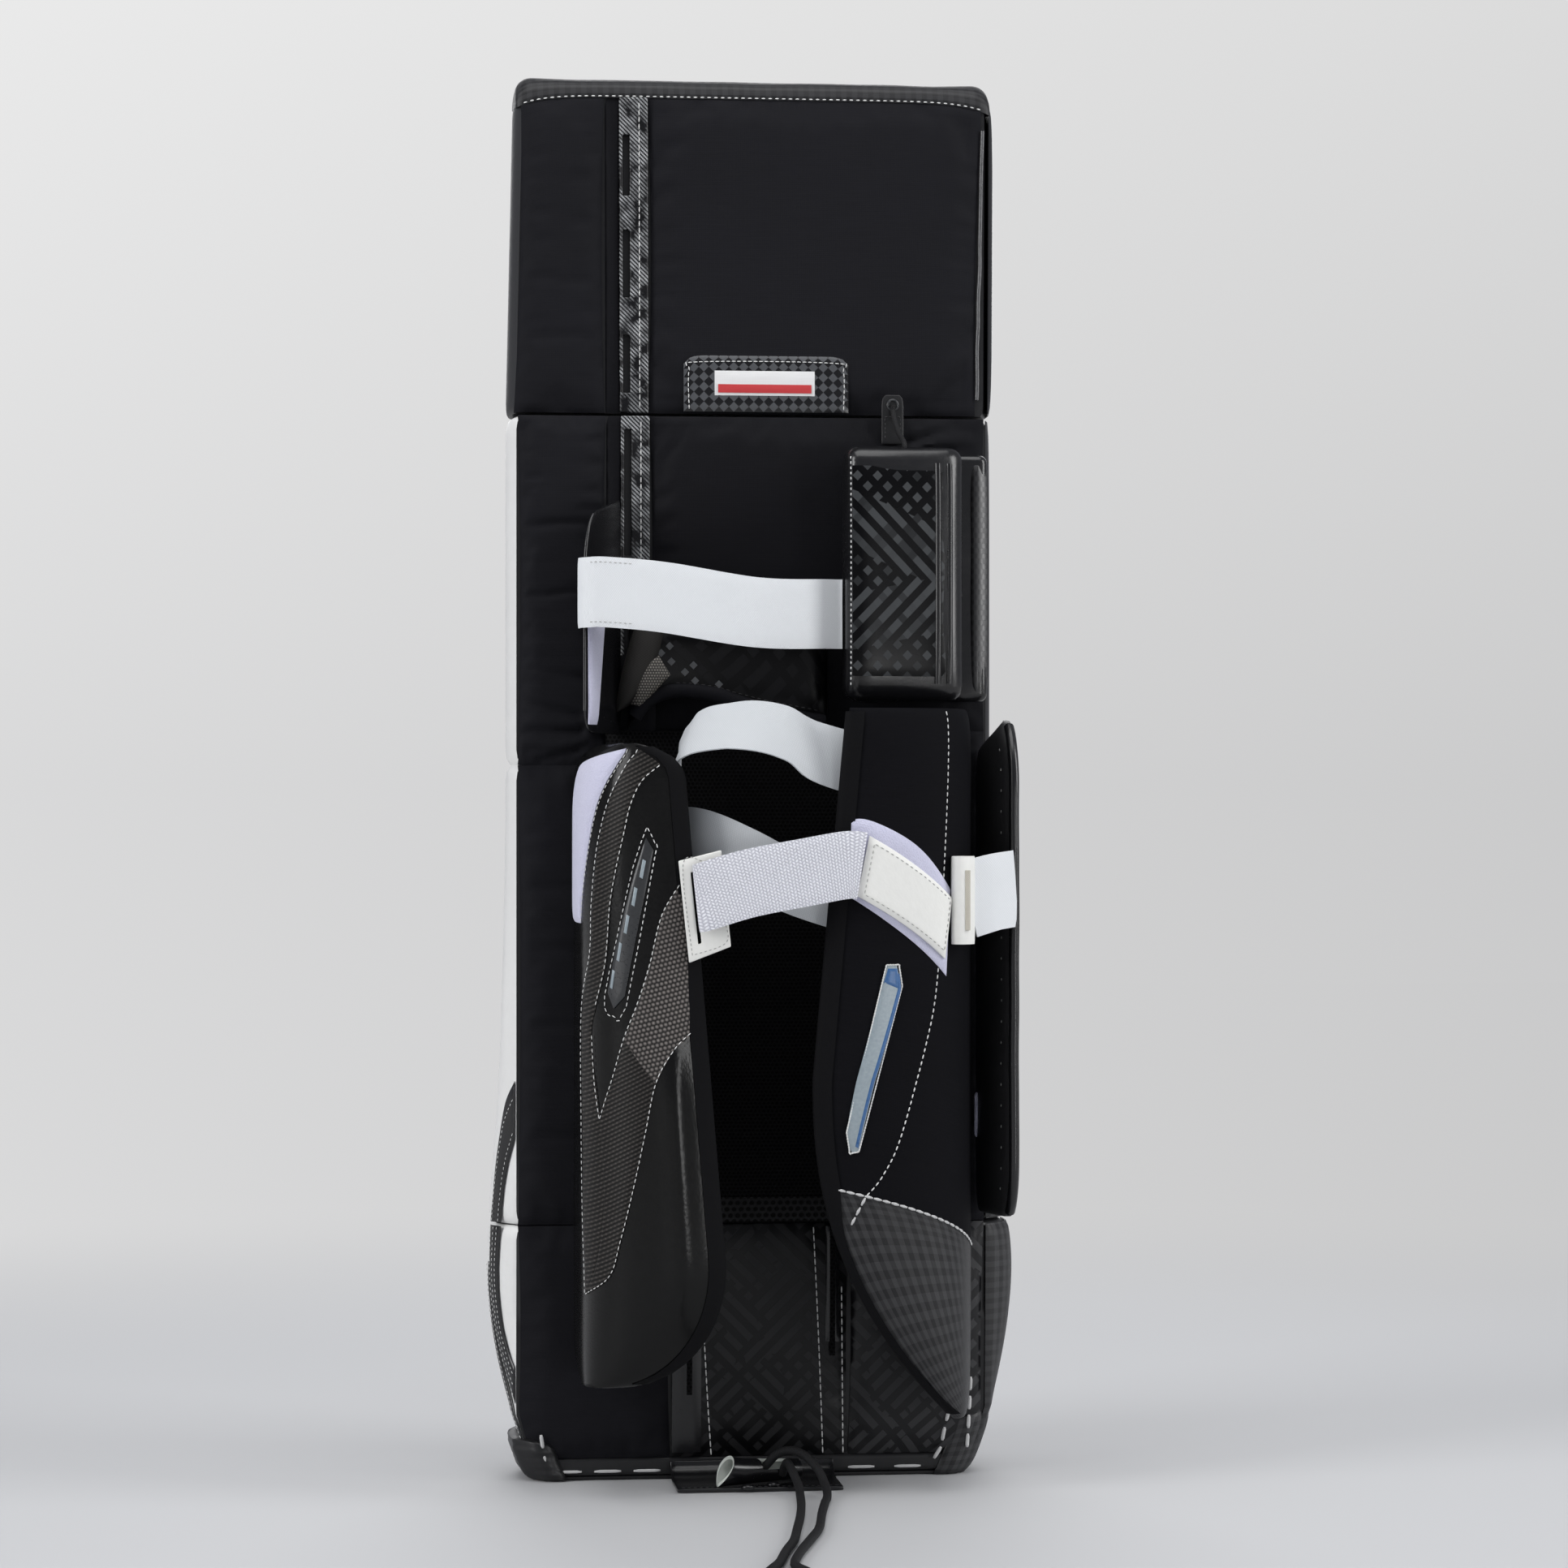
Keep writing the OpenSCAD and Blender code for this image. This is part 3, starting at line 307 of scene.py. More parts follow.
def bent_grid(columns, rows, place, keep=None):
    """Open grid laid on place(u, v), without the cells that keep(u, v) turns down."""
    bm = new_mesh()
    bmesh.ops.create_grid(bm, x_segments=columns, y_segments=rows, size=0.5)
    u_of, v_of, across, along = layers(bm)
    if keep:
        middles = [(f, f.calc_center_median()) for f in bm.faces]
        gone = [f for f, mid in middles if not keep(mid.x + 0.5, mid.y + 0.5)]
        bmesh.ops.delete(bm, geom=gone, context="FACES")
    width = run_length([place(i / columns, 0.5) for i in range(columns + 1)]) * MM
    length = run_length([place(0.5, i / rows) for i in range(rows + 1)]) * MM
    for vert in bm.verts:
        u, v = vert.co.x + 0.5, vert.co.y + 0.5
        vert[u_of], vert[v_of] = u, v
        vert[across], vert[along] = u * width, v * length
        vert.co = place(u, v)
    return bm


def slab(columns, rows, place, keep=None):
    """Closed slab: place(u, v, side) gives its outside at side 1 and its inside at side -1."""
    bm = bent_grid(columns, rows, lambda u, v: place(u, v, 1), keep)
    u_of, v_of = layers(bm)[:2]
    made = bmesh.ops.extrude_face_region(bm, geom=bm.faces[:])["geom"]
    inside = {g for g in made if isinstance(g, bmesh.types.BMVert)}
    for vert in inside:
        vert.co = place(vert[u_of], vert[v_of], -1)
    for face in bm.faces:
        shared = sum(v in inside for v in face.verts)
        face.material_index = 0 if shared == 0 else 2 if shared == len(face.verts) else 1
    bmesh.ops.recalc_face_normals(bm, faces=bm.faces[:])
    return bm


def loft(count, levels, place):
    """Closed form through level loops, with its girth: place(k, i) is point k of loop i."""
    bm = new_mesh()
    order, _, across, along = layers(bm)
    ring = bmesh.ops.create_circle(bm, segments=count, radius=1, cap_ends=False)["verts"]
    half = levels // 2
    girth = sum((place((k + 1) % count, half) - place(k, half)).length for k in range(count))
    for k, vert in enumerate(ring):
        vert[order] = k
        vert[across] = k / count * girth * MM
        vert.co = place(k, 0)
    edges = bm.edges[:]
    length = 0.0
    spots = range(0, count, 4)
    for i in range(1, levels):
        length += sum((place(k, i) - place(k, i - 1)).length for k in spots) / len(spots)
        made = bmesh.ops.extrude_edge_only(bm, edges=edges)["geom"]
        edges = [g for g in made if isinstance(g, bmesh.types.BMEdge)]
        for vert in [g for g in made if isinstance(g, bmesh.types.BMVert)]:
            vert.co = place(int(round(vert[order])), i)
            vert[along] = length * MM
    bmesh.ops.holes_fill(bm, edges=[e for e in bm.edges if e.is_boundary], sides=0)
    bmesh.ops.recalc_face_normals(bm, faces=bm.faces[:])
    return bm, girth * MM


def frames_along(path, upright):
    """Each point of a strap's path with its flat normal and its width direction."""
    made = []
    for i in range(len(path)):
        way = way_at(path, i)
        normal = way.cross(upright).normalized()
        made.append((path[i], normal, normal.cross(way)))
    return made


def strap(path, width, thick, upright=(0, 0, 1), columns=8, edge=0.55, roll=None):
    """Flat strap along a path, thinner at its two edges, turned about its own length where roll says so."""
    rows = len(path) - 1
    frames = frames_along(path, Vector(upright))

    def place(u, v, side):
        p, normal, across = frames[int(round(v * rows))]
        if roll:
            turn = Matrix.Rotation(roll(v), 3, across.cross(normal))
            normal, across = turn @ normal, turn @ across
        swell = mix(edge, 1, pillow(u, 6))
        return p + across * (u - 0.5) * width + normal * side * thick / 2 * swell

    return slab(columns, rows, place)


def tube(path, diameter, sides=10):
    """Round cord along a path, without twist, with its girth."""
    ways = [way_at(path, i) for i in range(len(path))]
    start = Vector((0, 0, 1)) if abs(ways[0].z) < 0.9 else Vector((1, 0, 0))
    normals = []
    for way in ways:
        start = (start - way * start.dot(way)).normalized()
        normals.append(start)

    def place(k, i):
        a = 2 * math.pi * k / sides
        return path[i] + diameter / 2 * (math.cos(a) * normals[i] + math.sin(a) * normals[i].cross(ways[i]))

    return loft(sides, len(path), place)


def smooth_edges(bm, width, segments=2):
    """Rounds every edge that turns by more than a third of a right angle."""
    sharp = [e for e in bm.edges if e.is_manifold and e.calc_face_angle() > math.radians(30)]
    bmesh.ops.bevel(bm, geom=sharp, offset=width, offset_type="OFFSET", segments=segments,
                    profile=0.5, affect="EDGES", material=-1, clamp_overlap=True)
    return bm


def piece(name, bm, body, finish, nodes=(), wrap=0.0, fill=0.0, rim=None, lining=None, sharp=50, slot=None):
    """Object of a mesh, with its surface map in metres, riding on a body; its finish's slot is looked up but
    not given to it.
    """
    finishes = [n for n in (finish, rim, lining) if n]
    across, along = layers(bm)[2:]
    surface = bm.loops.layers.uv.new("surface")
    for face in bm.faces:
        face.smooth = True
        top = max(loop.vert[across] for loop in face.loops)
        for loop in face.loops:
            a = loop.vert[across]
            loop[surface].uv = (a + wrap if wrap and top - a > wrap / 2 else a, loop.vert[along])
        if face.material_index >= len(finishes):
            face.material_index = 0
    mesh = bpy.data.meshes.new(name)
    bm.to_mesh(mesh)
    bm.free()
    mesh.transform(Matrix.Scale(MM, 4))
    mesh.set_sharp_from_angle(angle=math.radians(sharp))
    for layer in LAYERS:
        mesh.attributes.remove(mesh.attributes[layer])
    for name_of_finish in finishes:
        mesh.materials.append(FINISH[name_of_finish])
    obj = bpy.data.objects.new(name, mesh)
    scene.collection.objects.link(obj)
    if body:
        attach(obj, body)
    if nodes:
        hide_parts(*nodes)
    slot = SLOT.get(finish) if slot is None else slot
    return obj


def round_piece(name, made, body, finish, nodes=(), fill=0.0, rim=None):
    """Piece of a tube or loft, whose surface map runs on round its girth."""
    bm, girth = made
    return piece(name, bm, body, finish, nodes, girth, fill, rim)


def stitches(name, lines, body, thread="white_thread", pitch=3.6, length=2.6, width=0.65, blunt=False):
    """Rows of sewn stitches, each line a list of points with their surface normals."""
    bm = new_mesh()
    around, up_down = (10, 8) if blunt else (6, 4)
    for line in lines:
        points = [p for p, n in line]
        count = max(1, int(run_length(points) / pitch))
        even = spaced(points, count * 2)
        normals = spaced([Vector(n) for p, n in line], count * 2)
        for i in range(1, count * 2, 2):
            way = (even[i + 1] - even[i - 1]).normalized()
            up = normals[i].normalized()
            axes = (way * length, up.cross(way).normalized() * width, up * width * 0.7)
            turn = Matrix(axes).transposed().to_4x4()
            made = bmesh.ops.create_uvsphere(bm, u_segments=around, v_segments=up_down, radius=0.5)["verts"]
            if blunt:
                for v in made:
                    x = 2 * v.co.x
                    fuller = math.sqrt(max(0.0, 1 - abs(x) ** 8)) / max(0.3, math.sqrt(max(0.0, 1 - x * x)))
                    v.co = Vector((v.co.x, v.co.y * fuller, v.co.z * fuller))
            bmesh.ops.transform(bm, matrix=Matrix.Translation(even[i] + up * 0.1) @ turn, verts=made)
    bmesh.ops.recalc_face_normals(bm, faces=bm.faces[:])
    return piece(name, bm, body, thread)


def on_surface(surface, controls, off=0.0, steps=8):
    """Line on a surface through a few places on it, with the surface's normal at each point."""
    line = []
    for p in route([(a, b, 0) for a, b in controls], steps):
        here = surface(p.x, p.y, off)
        line.append((here, (surface(p.x, p.y, off + 1) - here).normalized()))
    return line


def sew(name, surface, lines, off, body, **how):
    """Rows of stitches through places on a surface."""
    return stitches(name, [on_surface(surface, line, off) for line in lines], body, **how)


def patch(surface, left, right, thick, off=0.0, columns=10, rows=24, edge=0.35, power=10, steps=8):
    """Thin layer on a surface between two lines of places on it."""
    a = spaced(route([(p[0] * 100, p[1], 0) for p in left], steps), rows)
    b = spaced(route([(p[0] * 100, p[1], 0) for p in right], steps), rows)

    def place(u, v, side):
        p = at(a, v).lerp(at(b, v), u)
        swell = mix(edge, 1, min(pillow(u, power), pillow(v, power)))
        return surface(p.x / 100, p.y, off + (thick * swell if side > 0 else 0.0))

    return slab(columns, rows, place)


def flat_patch(surface, x0, x1, z0, z1, thick, off=0.0, columns=8, rows=8, edge=0.4, power=8):
    return patch(surface, [(x0, z0), (x0, z1)], [(x1, z0), (x1, z1)], thick, off, columns, rows, edge,
                 power)


# Finishes: shader patterns as groups, then one material for each finish

class Nodes:
    """Adds and joins shader nodes in one tree."""

    def __init__(self, tree):
        self.tree = tree

    def add(self, kind, inputs=None, **settings):
        node = self.tree.nodes.new(kind)
        for key, value in settings.items():
            setattr(node, key, value)
        for key, value in (inputs or {}).items():
            self.feed(node.inputs[key], value)
        return node

    def feed(self, socket, value):
        if isinstance(value, bpy.types.NodeSocket):
            self.tree.links.new(value, socket)
        else:
            socket.default_value = value

    def math(self, operation, a, b=0.0, clamped=False):
        return self.add("ShaderNodeMath", {0: a, 1: b}, operation=operation, use_clamp=clamped).outputs[0]

    def plus(self, a, b):
        return self.math("ADD", a, b)

    def minus(self, a, b):
        return self.math("SUBTRACT", a, b)

    def times(self, a, b):
        return self.math("MULTIPLY", a, b)

    def larger(self, a, b):
        return self.math("MAXIMUM", a, b)

    def above(self, a, limit):
        return self.math("GREATER_THAN", a, limit)

    def below(self, a, limit):
        return self.math("LESS_THAN", a, limit)

    def ridge(self, x):
        """Rises to a half in the middle of each cell."""
        return self.math("PINGPONG", x, 0.5)

    def stripe(self, x):
        """1 in every other cell."""
        return self.math("FLOORED_MODULO", self.math("FLOOR", x), 2.0)

    def wave(self, x):
        return self.value(self.math("SINE", self.times(x, 2 * math.pi)), 0.5, 1.0)

    def vector(self, operation, a, b):
        return self.add("ShaderNodeVectorMath", {0: a, 1: b}, operation=operation).outputs[0]

    def split(self, vector):
        return self.add("ShaderNodeSeparateXYZ", {0: vector}).outputs

    def colour(self, share, low, high):
        return self.add("ShaderNodeMix", {0: share, 6: low, 7: high}, data_type="RGBA").outputs[2]

    def value(self, share, low, high):
        return self.add("ShaderNodeMapRange", {"Value": share, "To Min": low, "To Max": high}).outputs[0]

    def window(self, value, low, high, **settings):
        """0 up to the low value and 1 from the high one on."""
        inputs = {"Value": value, "From Min": low, "From Max": high}
        return self.add("ShaderNodeMapRange", inputs, **settings).outputs[0]

    def noise(self, place, scale, detail=2.0, stretch=None):
        if stretch:
            place = self.vector("MULTIPLY", place, stretch)
        inputs = {"Vector": place, "Scale": scale, "Detail": detail}
        return self.add("ShaderNodeTexNoise", inputs).outputs[0]

    def here(self, kind="Object"):
        return self.add("ShaderNodeTexCoord").outputs[kind]

    def join(self, share, first, second, output):
        """Two shaders by a share, into an output."""
        both = self.add("ShaderNodeMixShader", {0: share, 1: first.outputs[0], 2: second.outputs[0]})
        self.feed(output.inputs[0], both.outputs[0])


def cloth(nodes, x, y, place):
    """Plain weave with thicker threads here and there along its width."""
    threads = nodes.times(nodes.wave(x), nodes.wave(nodes.plus(y, 0.25)))
    slubs = nodes.noise(place, 1.0, 2.0, (0.03, 0.9, 1.0))
    return nodes.plus(threads, slubs), slubs


def strip(nodes, x, y, place):
    """Two-over-two twill of flat tows, with painted sheen on the tows in patches and black between the
    patches.
    """
    step = nodes.plus(nodes.math("FLOOR", x), nodes.math("FLOOR", y))
    over = nodes.below(nodes.math("FLOORED_MODULO", step, 4.0), 1.5)
    tow = nodes.times(nodes.ridge(x), nodes.ridge(y))
    relief = nodes.plus(over, nodes.times(tow, 3.0))
    return relief, nodes.times(over, nodes.window(nodes.noise(place, 0.07, 3.0), 0.40, 0.64))


def on_the_bias(nodes, x, y):
    shorter = 0.7071
    return nodes.times(nodes.plus(x, y), shorter), nodes.times(nodes.minus(x, y), shorter)


def squares(nodes, x, y, place):
    """Pressed squares on the bias that run into strips in places."""
    a, b = on_the_bias(nodes, x, y)
    in_a, in_b = nodes.stripe(a), nodes.stripe(b)
    region = nodes.noise(place, 0.16, 0.0)
    strip_a = nodes.times(in_a, nodes.above(region, 0.56))
    strip_b = nodes.times(in_b, nodes.below(region, 0.42))
    mask = nodes.larger(nodes.times(in_a, in_b), nodes.larger(strip_a, strip_b))
    return mask, mask


BLOCK_STRIPS_UPPER, BLOCK_STRIPS_LOWER = (17.0, 25.0), (3.5, 11.0)


def block(nodes, x, y, place):
    """Squares on the bias, with long strips one way in the upper half and across it in the lower half; the
    squares are painted lighter, cell by cell at random strength, as painted highlight.
    """
    def between(level, low, high):
        return nodes.times(nodes.above(level, low), nodes.below(level, high))

    a, b = on_the_bias(nodes, x, y)
    in_a, in_b = nodes.stripe(a), nodes.stripe(b)
    upper = nodes.times(in_a, between(nodes.plus(y, nodes.times(x, 0.4)), *BLOCK_STRIPS_UPPER))
    lower = nodes.times(in_b, between(nodes.minus(y, nodes.times(x, 0.2)), *BLOCK_STRIPS_LOWER))
    mask = nodes.larger(nodes.times(in_a, in_b), nodes.larger(upper, lower))
    cell = nodes.add("ShaderNodeCombineXYZ", {0: nodes.math("FLOOR", a), 1: nodes.math("FLOOR", b)})
    tone = nodes.add("ShaderNodeTexWhiteNoise", {"Vector": cell.outputs[0]},
                     noise_dimensions="2D").outputs[0]
    return mask, nodes.times(mask, nodes.value(tone, 0.25, 1.6))


def cords(nodes, x, y, place):
    """Slanted cords with small breaks along them."""
    breaks = nodes.wave(nodes.plus(nodes.times(x, 0.9), nodes.times(nodes.math("FLOOR", y), 0.37)))
    relief = nodes.times(nodes.times(nodes.ridge(y), 2.0), nodes.value(breaks, 0.35, 1.0))
    return relief, nodes.math("POWER", relief, 1.8)


def checks(nodes, x, y, place):
    """Even checks, straight on."""
    mask = nodes.math("ABSOLUTE", nodes.minus(nodes.stripe(x), nodes.stripe(y)))
    return mask, mask


def gingham(nodes, x, y, place):
    """Even stripes both ways, lightest where two cross."""
    mask = nodes.plus(nodes.times(nodes.stripe(x), 0.6), nodes.times(nodes.stripe(y), 0.4))
    return mask, mask


def basket(nodes, x, y, place):
    """Coarse woven mesh: round lumps in offset rows."""
    shifted = nodes.plus(x, nodes.times(nodes.stripe(y), 0.5))
    lump = nodes.times(nodes.times(nodes.ridge(shifted), nodes.ridge(y)), 4.0)
    return lump, nodes.math("SMOOTH_MIN", lump, 1.0)


def mesh_holes(nodes, x, y, place):
    """Open mesh with holes in offset rows."""
    tall = 1.732

    def hole(shift):
        dx = nodes.minus(nodes.math("FRACT", nodes.plus(x, shift)), 0.5)
        dy = nodes.minus(nodes.math("FRACT", nodes.plus(nodes.math("DIVIDE", y, tall), shift)), 0.5)
        wide = nodes.times(dy, tall)
        return nodes.plus(nodes.times(dx, dx), nodes.times(wide, wide))

    rim = nodes.window(nodes.math("MINIMUM", hole(0.0), hole(0.5)), 0.05, 0.16, clamp=True)
    return rim, rim


def grain(nodes, x, y, place):
    """Leather grain: small rounded pebbles."""
    cells = nodes.add("ShaderNodeTexVoronoi", {"Vector": place, "Scale": 1.0},
                      feature="SMOOTH_F1").outputs[0]
    folds = nodes.noise(place, 0.35, 3.0)
    return nodes.plus(nodes.times(cells, -1.0), folds), folds


def ribs(nodes, x, y, place):
    """Elastic: fine slanted ribs."""
    slanted = nodes.wave(nodes.plus(y, nodes.times(x, 0.6)))
    ends = nodes.wave(nodes.minus(nodes.times(x, 0.8), y))
    relief = nodes.times(slanted, ends)
    return relief, relief


def webbing(nodes, x, y, place):
    """Webbing: columns of slanted beads, every other column half a bead lower, with painted shade between
    the beads.
    """
    lean = nodes.times(nodes.math("FRACT", y), nodes.value(nodes.stripe(y), 0.5, -0.5))
    bead = nodes.ridge(nodes.plus(x, lean))
    relief = nodes.math("POWER", nodes.times(nodes.times(bead, nodes.ridge(y)), 4.0), 0.5)
    return relief, relief


def fuzz(nodes, x, y, place):
    """Brushed pile: soft fibres at two sizes."""
    fine = nodes.noise(place, 1.0, 4.0)
    return nodes.plus(fine, nodes.noise(place, 0.12, 2.0)), fine


def hooks(nodes, x, y, place):
    """Hook tape: rows of little hooks."""
    dots = nodes.times(nodes.wave(x), nodes.wave(y))
    return dots, dots


def braid(nodes, x, y, place):
    """Braided cover: two slanted sets of strands."""
    strands = nodes.larger(nodes.ridge(nodes.plus(x, y)), nodes.ridge(nodes.minus(x, y)))
    relief = nodes.times(strands, 2.0)
    return relief, relief


def pattern_group(recipe):
    """Shader group from a place and a cell size to a relief and a mask."""
    tree = bpy.data.node_groups.new(recipe.__name__ + "_pattern", "ShaderNodeTree")
    for socket, kind in (("Place", "NodeSocketVector"), ("Cell", "NodeSocketFloat")):
        tree.interface.new_socket(socket, in_out="INPUT", socket_type=kind)
    for socket in ("Relief", "Mask"):
        tree.interface.new_socket(socket, in_out="OUTPUT", socket_type="NodeSocketFloat")
    nodes = Nodes(tree)
    source = nodes.add("NodeGroupInput")
    result = nodes.add("NodeGroupOutput")
    place = nodes.vector("DIVIDE", source.outputs[0], source.outputs[1])
    x, y, _ = nodes.split(place)
    for socket, value in zip(result.inputs, recipe(nodes, x, y, place)):
        nodes.feed(socket, value)
    return tree


RECIPES = (cloth, strip, squares, block, cords, checks, gingham, basket, mesh_holes, grain, ribs, webbing,
           fuzz, hooks, braid)
PATTERN = {recipe: pattern_group(recipe) for recipe in RECIPES}
FINISH = {}
SLOT = {}


def rgba(tint):
    """Colour of a tint: red, green and blue, or one number for red and green and one for blue."""
    return (tint[0], tint[-2], tint[-1], 1)


def finish(name, slot, pattern, cell, depth, low, high, rough, turn=0.0, mottle=0.2, by_object=False,
           gloss=0.5, sheen=0.0):
    """Material for a slot: colour, roughness and relief follow one pattern, uneven in broad patches."""
    mat = bpy.data.materials.new(name)
    mat.use_nodes = True
    nodes = Nodes(mat.node_tree)
    bsdf = mat.node_tree.nodes["Principled BSDF"]
    if by_object:
        x, y, z = nodes.split(nodes.here())
        place = nodes.add("ShaderNodeCombineXYZ", {0: x, 1: z, 2: y}).outputs[0]
    else:
        place = nodes.add("ShaderNodeUVMap", uv_map="surface").outputs[0]
    turned = nodes.add("ShaderNodeMapping", {"Vector": place, "Rotation": (0, 0, math.radians(turn))})
    group = nodes.add("ShaderNodeGroup", node_tree=PATTERN[pattern])
    nodes.feed(group.inputs["Place"], turned.outputs[0])
    nodes.feed(group.inputs["Cell"], cell * MM)
    mask = group.outputs["Mask"]
    broad = nodes.noise(nodes.here(), 22.0, 3.0)
    base = nodes.colour(mask, rgba(low), rgba(high))
    uneven = nodes.vector("MULTIPLY", base, nodes.value(broad, 1 - mottle, 1 + mottle))
    dull = nodes.math("ADD", nodes.value(mask, *rough), nodes.value(broad, -0.07, 0.07), True)
    pressed = {"Height": group.outputs["Relief"], "Strength": 0.8, "Distance": depth * MM}
    bump = nodes.add("ShaderNodeBump", pressed)
    for socket, value in (("Base Color", uneven), ("Roughness", dull), ("Normal", bump.outputs[0]),
                          ("Specular IOR Level", gloss), ("Sheen Weight", sheen)):
        nodes.feed(bsdf.inputs[socket], value)
    FINISH[name] = mat
    SLOT[name] = slot


finish("black_nylon", "nylon", cloth, 0.8, 0.05, (0.005, 0.007), (0.009, 0.0115), (0.72, 0.82), gloss=0.13)
finish("knee_nylon", "nylon", cloth, 0.8, 0.05, (0.004, 0.0055), (0.007, 0.009), (0.66, 0.76), gloss=0.11)
finish("edge_nylon", "nylon", cloth, 0.8, 0.05, (0.003, 0.0035), (0.005, 0.006), (0.75, 0.85), gloss=0.1)
finish("wing_nylon", "nylon", cloth, 0.8, 0.05, (0.0035, 0.0045), (0.006, 0.0075), (0.68, 0.78), gloss=0.05)
finish("stretch_cloth", "nylon", ribs, 1.1, 0.12, (0.020, 0.019, 0.018), (0.048, 0.045, 0.042), (0.8, 0.7),
       gloss=0.2)

finish("air_mesh", "air_mesh", mesh_holes, 2.6, 0.6, (0.0015, 0.0015), (0.006, 0.0065), (0.9, 0.8),
       gloss=0.1)
finish("hem_mesh", "air_mesh", mesh_holes, 4.2, 1.0, (0.001, 0.001), (0.014, 0.015), (0.8, 0.6), gloss=0.2)
finish("wing_mesh", "air_mesh", basket, 2.5, 0.5, (0.004, 0.0035, 0.0035), (0.26, 0.235, 0.22),
       (0.7, 0.45), turn=-15, by_object=True, gloss=0.25)
finish("silver_mesh", "air_mesh", basket, 1.6, 0.5, (0.014, 0.013, 0.012), (0.42, 0.39, 0.34), (0.5, 0.4),
       by_object=True)

finish("black_leather", "black_skin", grain, 1.3, 0.04, (0.007, 0.008), (0.011, 0.012), (0.36, 0.46),
       gloss=0.4)
finish("gloss_leather", "black_skin", grain, 1.6, 0.025, (0.005, 0.006), (0.008, 0.009), (0.20, 0.30),
       gloss=0.5)
finish("wing_leather", "black_skin", grain, 1.5, 0.05, (0.003, 0.003), (0.006, 0.006), (0.17, 0.23),
       gloss=0.2)
# Flap leather: black leather painted lighter, as painted light in the shade between flap and wing
finish("flap_leather_painted_light", "black_skin", grain, 1.6, 0.03, (0.018, 0.019), (0.032, 0.034), (0.40, 0.52),
       gloss=0.4)
# Thigh edge piping: black leather painted grey as a painted highlight along it
finish("painted_highlight_piping", "black_skin", grain, 1.2, 0.03, (0.02, 0.021), (0.12, 0.125), (0.18, 0.28))
finish("roll_leather", "black_skin", checks, 3.0, 0.03, (0.008, 0.009), (0.018, 0.019), (0.30, 0.40),
       gloss=0.65)
finish("label_leather", "black_skin", checks, 4.2, 0.10, (0.005, 0.006), (0.065, 0.068, 0.074),
       (0.24, 0.36), turn=45, gloss=0.45)
# Knee block leather: a pattern of pressed squares, painted lighter as painted highlight
finish("square_leather", "black_skin", block, 4.3, 0.12, (0.001, 0.0015), (0.044, 0.047, 0.050),
       (0.28, 0.42), gloss=0.16)
finish("channel_leather", "black_skin", squares, 4.2, 0.10, (0.003, 0.0035), (0.016, 0.017), (0.30, 0.44),
       gloss=0.25)
finish("boot_leather", "black_skin", squares, 4.2, 0.10, (0.006, 0.007), (0.030, 0.032), (0.34, 0.46),
       gloss=0.3)
finish("cradle_leather", "black_skin", squares, 6.0, 0.10, (0.0025, 0.003), (0.006, 0.007), (0.36, 0.46),
       gloss=0.2)
finish("check_leather", "black_skin", gingham, 3.2, 0.08, (0.013, 0.014), (0.042, 0.044), (0.42, 0.52),
       gloss=0.35)
finish("cap_leather", "black_skin", gingham, 3.2, 0.08, (0.006, 0.007), (0.026, 0.028), (0.42, 0.52),
       gloss=0.3)
finish("flare_leather", "black_skin", gingham, 3.2, 0.10, (0.006, 0.007), (0.032, 0.034), (0.42, 0.52),
       turn=10, gloss=0.35)
finish("wing_twill", "black_skin", cords, 2.2, 0.22, (0.003, 0.003), (0.082, 0.074, 0.068), (0.5, 0.4),
       turn=-28, by_object=True, gloss=0.16)
# Pale colour of the painted highlights on the cradle's pressed squares
finish("painted_glint_square", "black_skin", grain, 0.8, 0.02, (0.055, 0.058, 0.062), (0.10, 0.105, 0.11),
       (0.3, 0.4), by_object=True)

# The lace strips' pale tows are painted sheen, in patches
finish("strip_twill", "strip_gloss", strip, 0.62, 0.10, (0.003, 0.004), (0.36, 0.37, 0.38), (0.30, 0.30),
       by_object=True, gloss=0.3)
finish("blue_badge", "strip_gloss", grain, 0.6, 0.02, (0.020, 0.075, 0.20), (0.05, 0.14, 0.32),
       (0.25, 0.35), by_object=True)
finish("silver_badge", "strip_gloss", grain, 0.6, 0.02, (0.20, 0.25, 0.28), (0.32, 0.37, 0.40),
       (0.28, 0.38), by_object=True)
finish("grey_badge", "strip_gloss", grain, 0.6, 0.02, (0.014, 0.015, 0.017), (0.034, 0.036, 0.039),
       (0.25, 0.35), by_object=True)

finish("white_face", "white_skin", grain, 1.5, 0.05, (0.70, 0.69), (0.75, 0.74), (0.38, 0.46), mottle=0.03,
       by_object=True)
finish("white_leather", "white_leather", grain, 1.4, 0.05, (0.72, 0.69), (0.78, 0.75), (0.45, 0.55),
       mottle=0.03)
finish("white_tag", "white_leather", cloth, 0.7, 0.05, (0.64, 0.64), (0.74, 0.74), (0.55, 0.65),
       mottle=0.03)
finish("red_tag", "white_leather", cloth, 0.7, 0.05, (0.42, 0.02, 0.025), (0.52, 0.035, 0.04), (0.55, 0.65),
       mottle=0.05)
finish("white_elastic", "white_elastic", ribs, 1.15, 0.14, (0.64, 0.66, 0.68), (0.78, 0.80, 0.82),
       (0.8, 0.7), mottle=0.03, gloss=0.2)
# The same white elastic painted darker, as painted shade in the leg channel
finish("shaded_leg_elastic", "white_elastic", ribs, 1.15, 0.14, (0.46, 0.48, 0.50), (0.60, 0.62, 0.64), (0.8, 0.7),
       mottle=0.03, gloss=0.2)
finish("beige_cord", "white_elastic", braid, 1.2, 0.2, (0.36, 0.34, 0.28), (0.56, 0.53, 0.46), (0.75, 0.65),
       mottle=0.05)
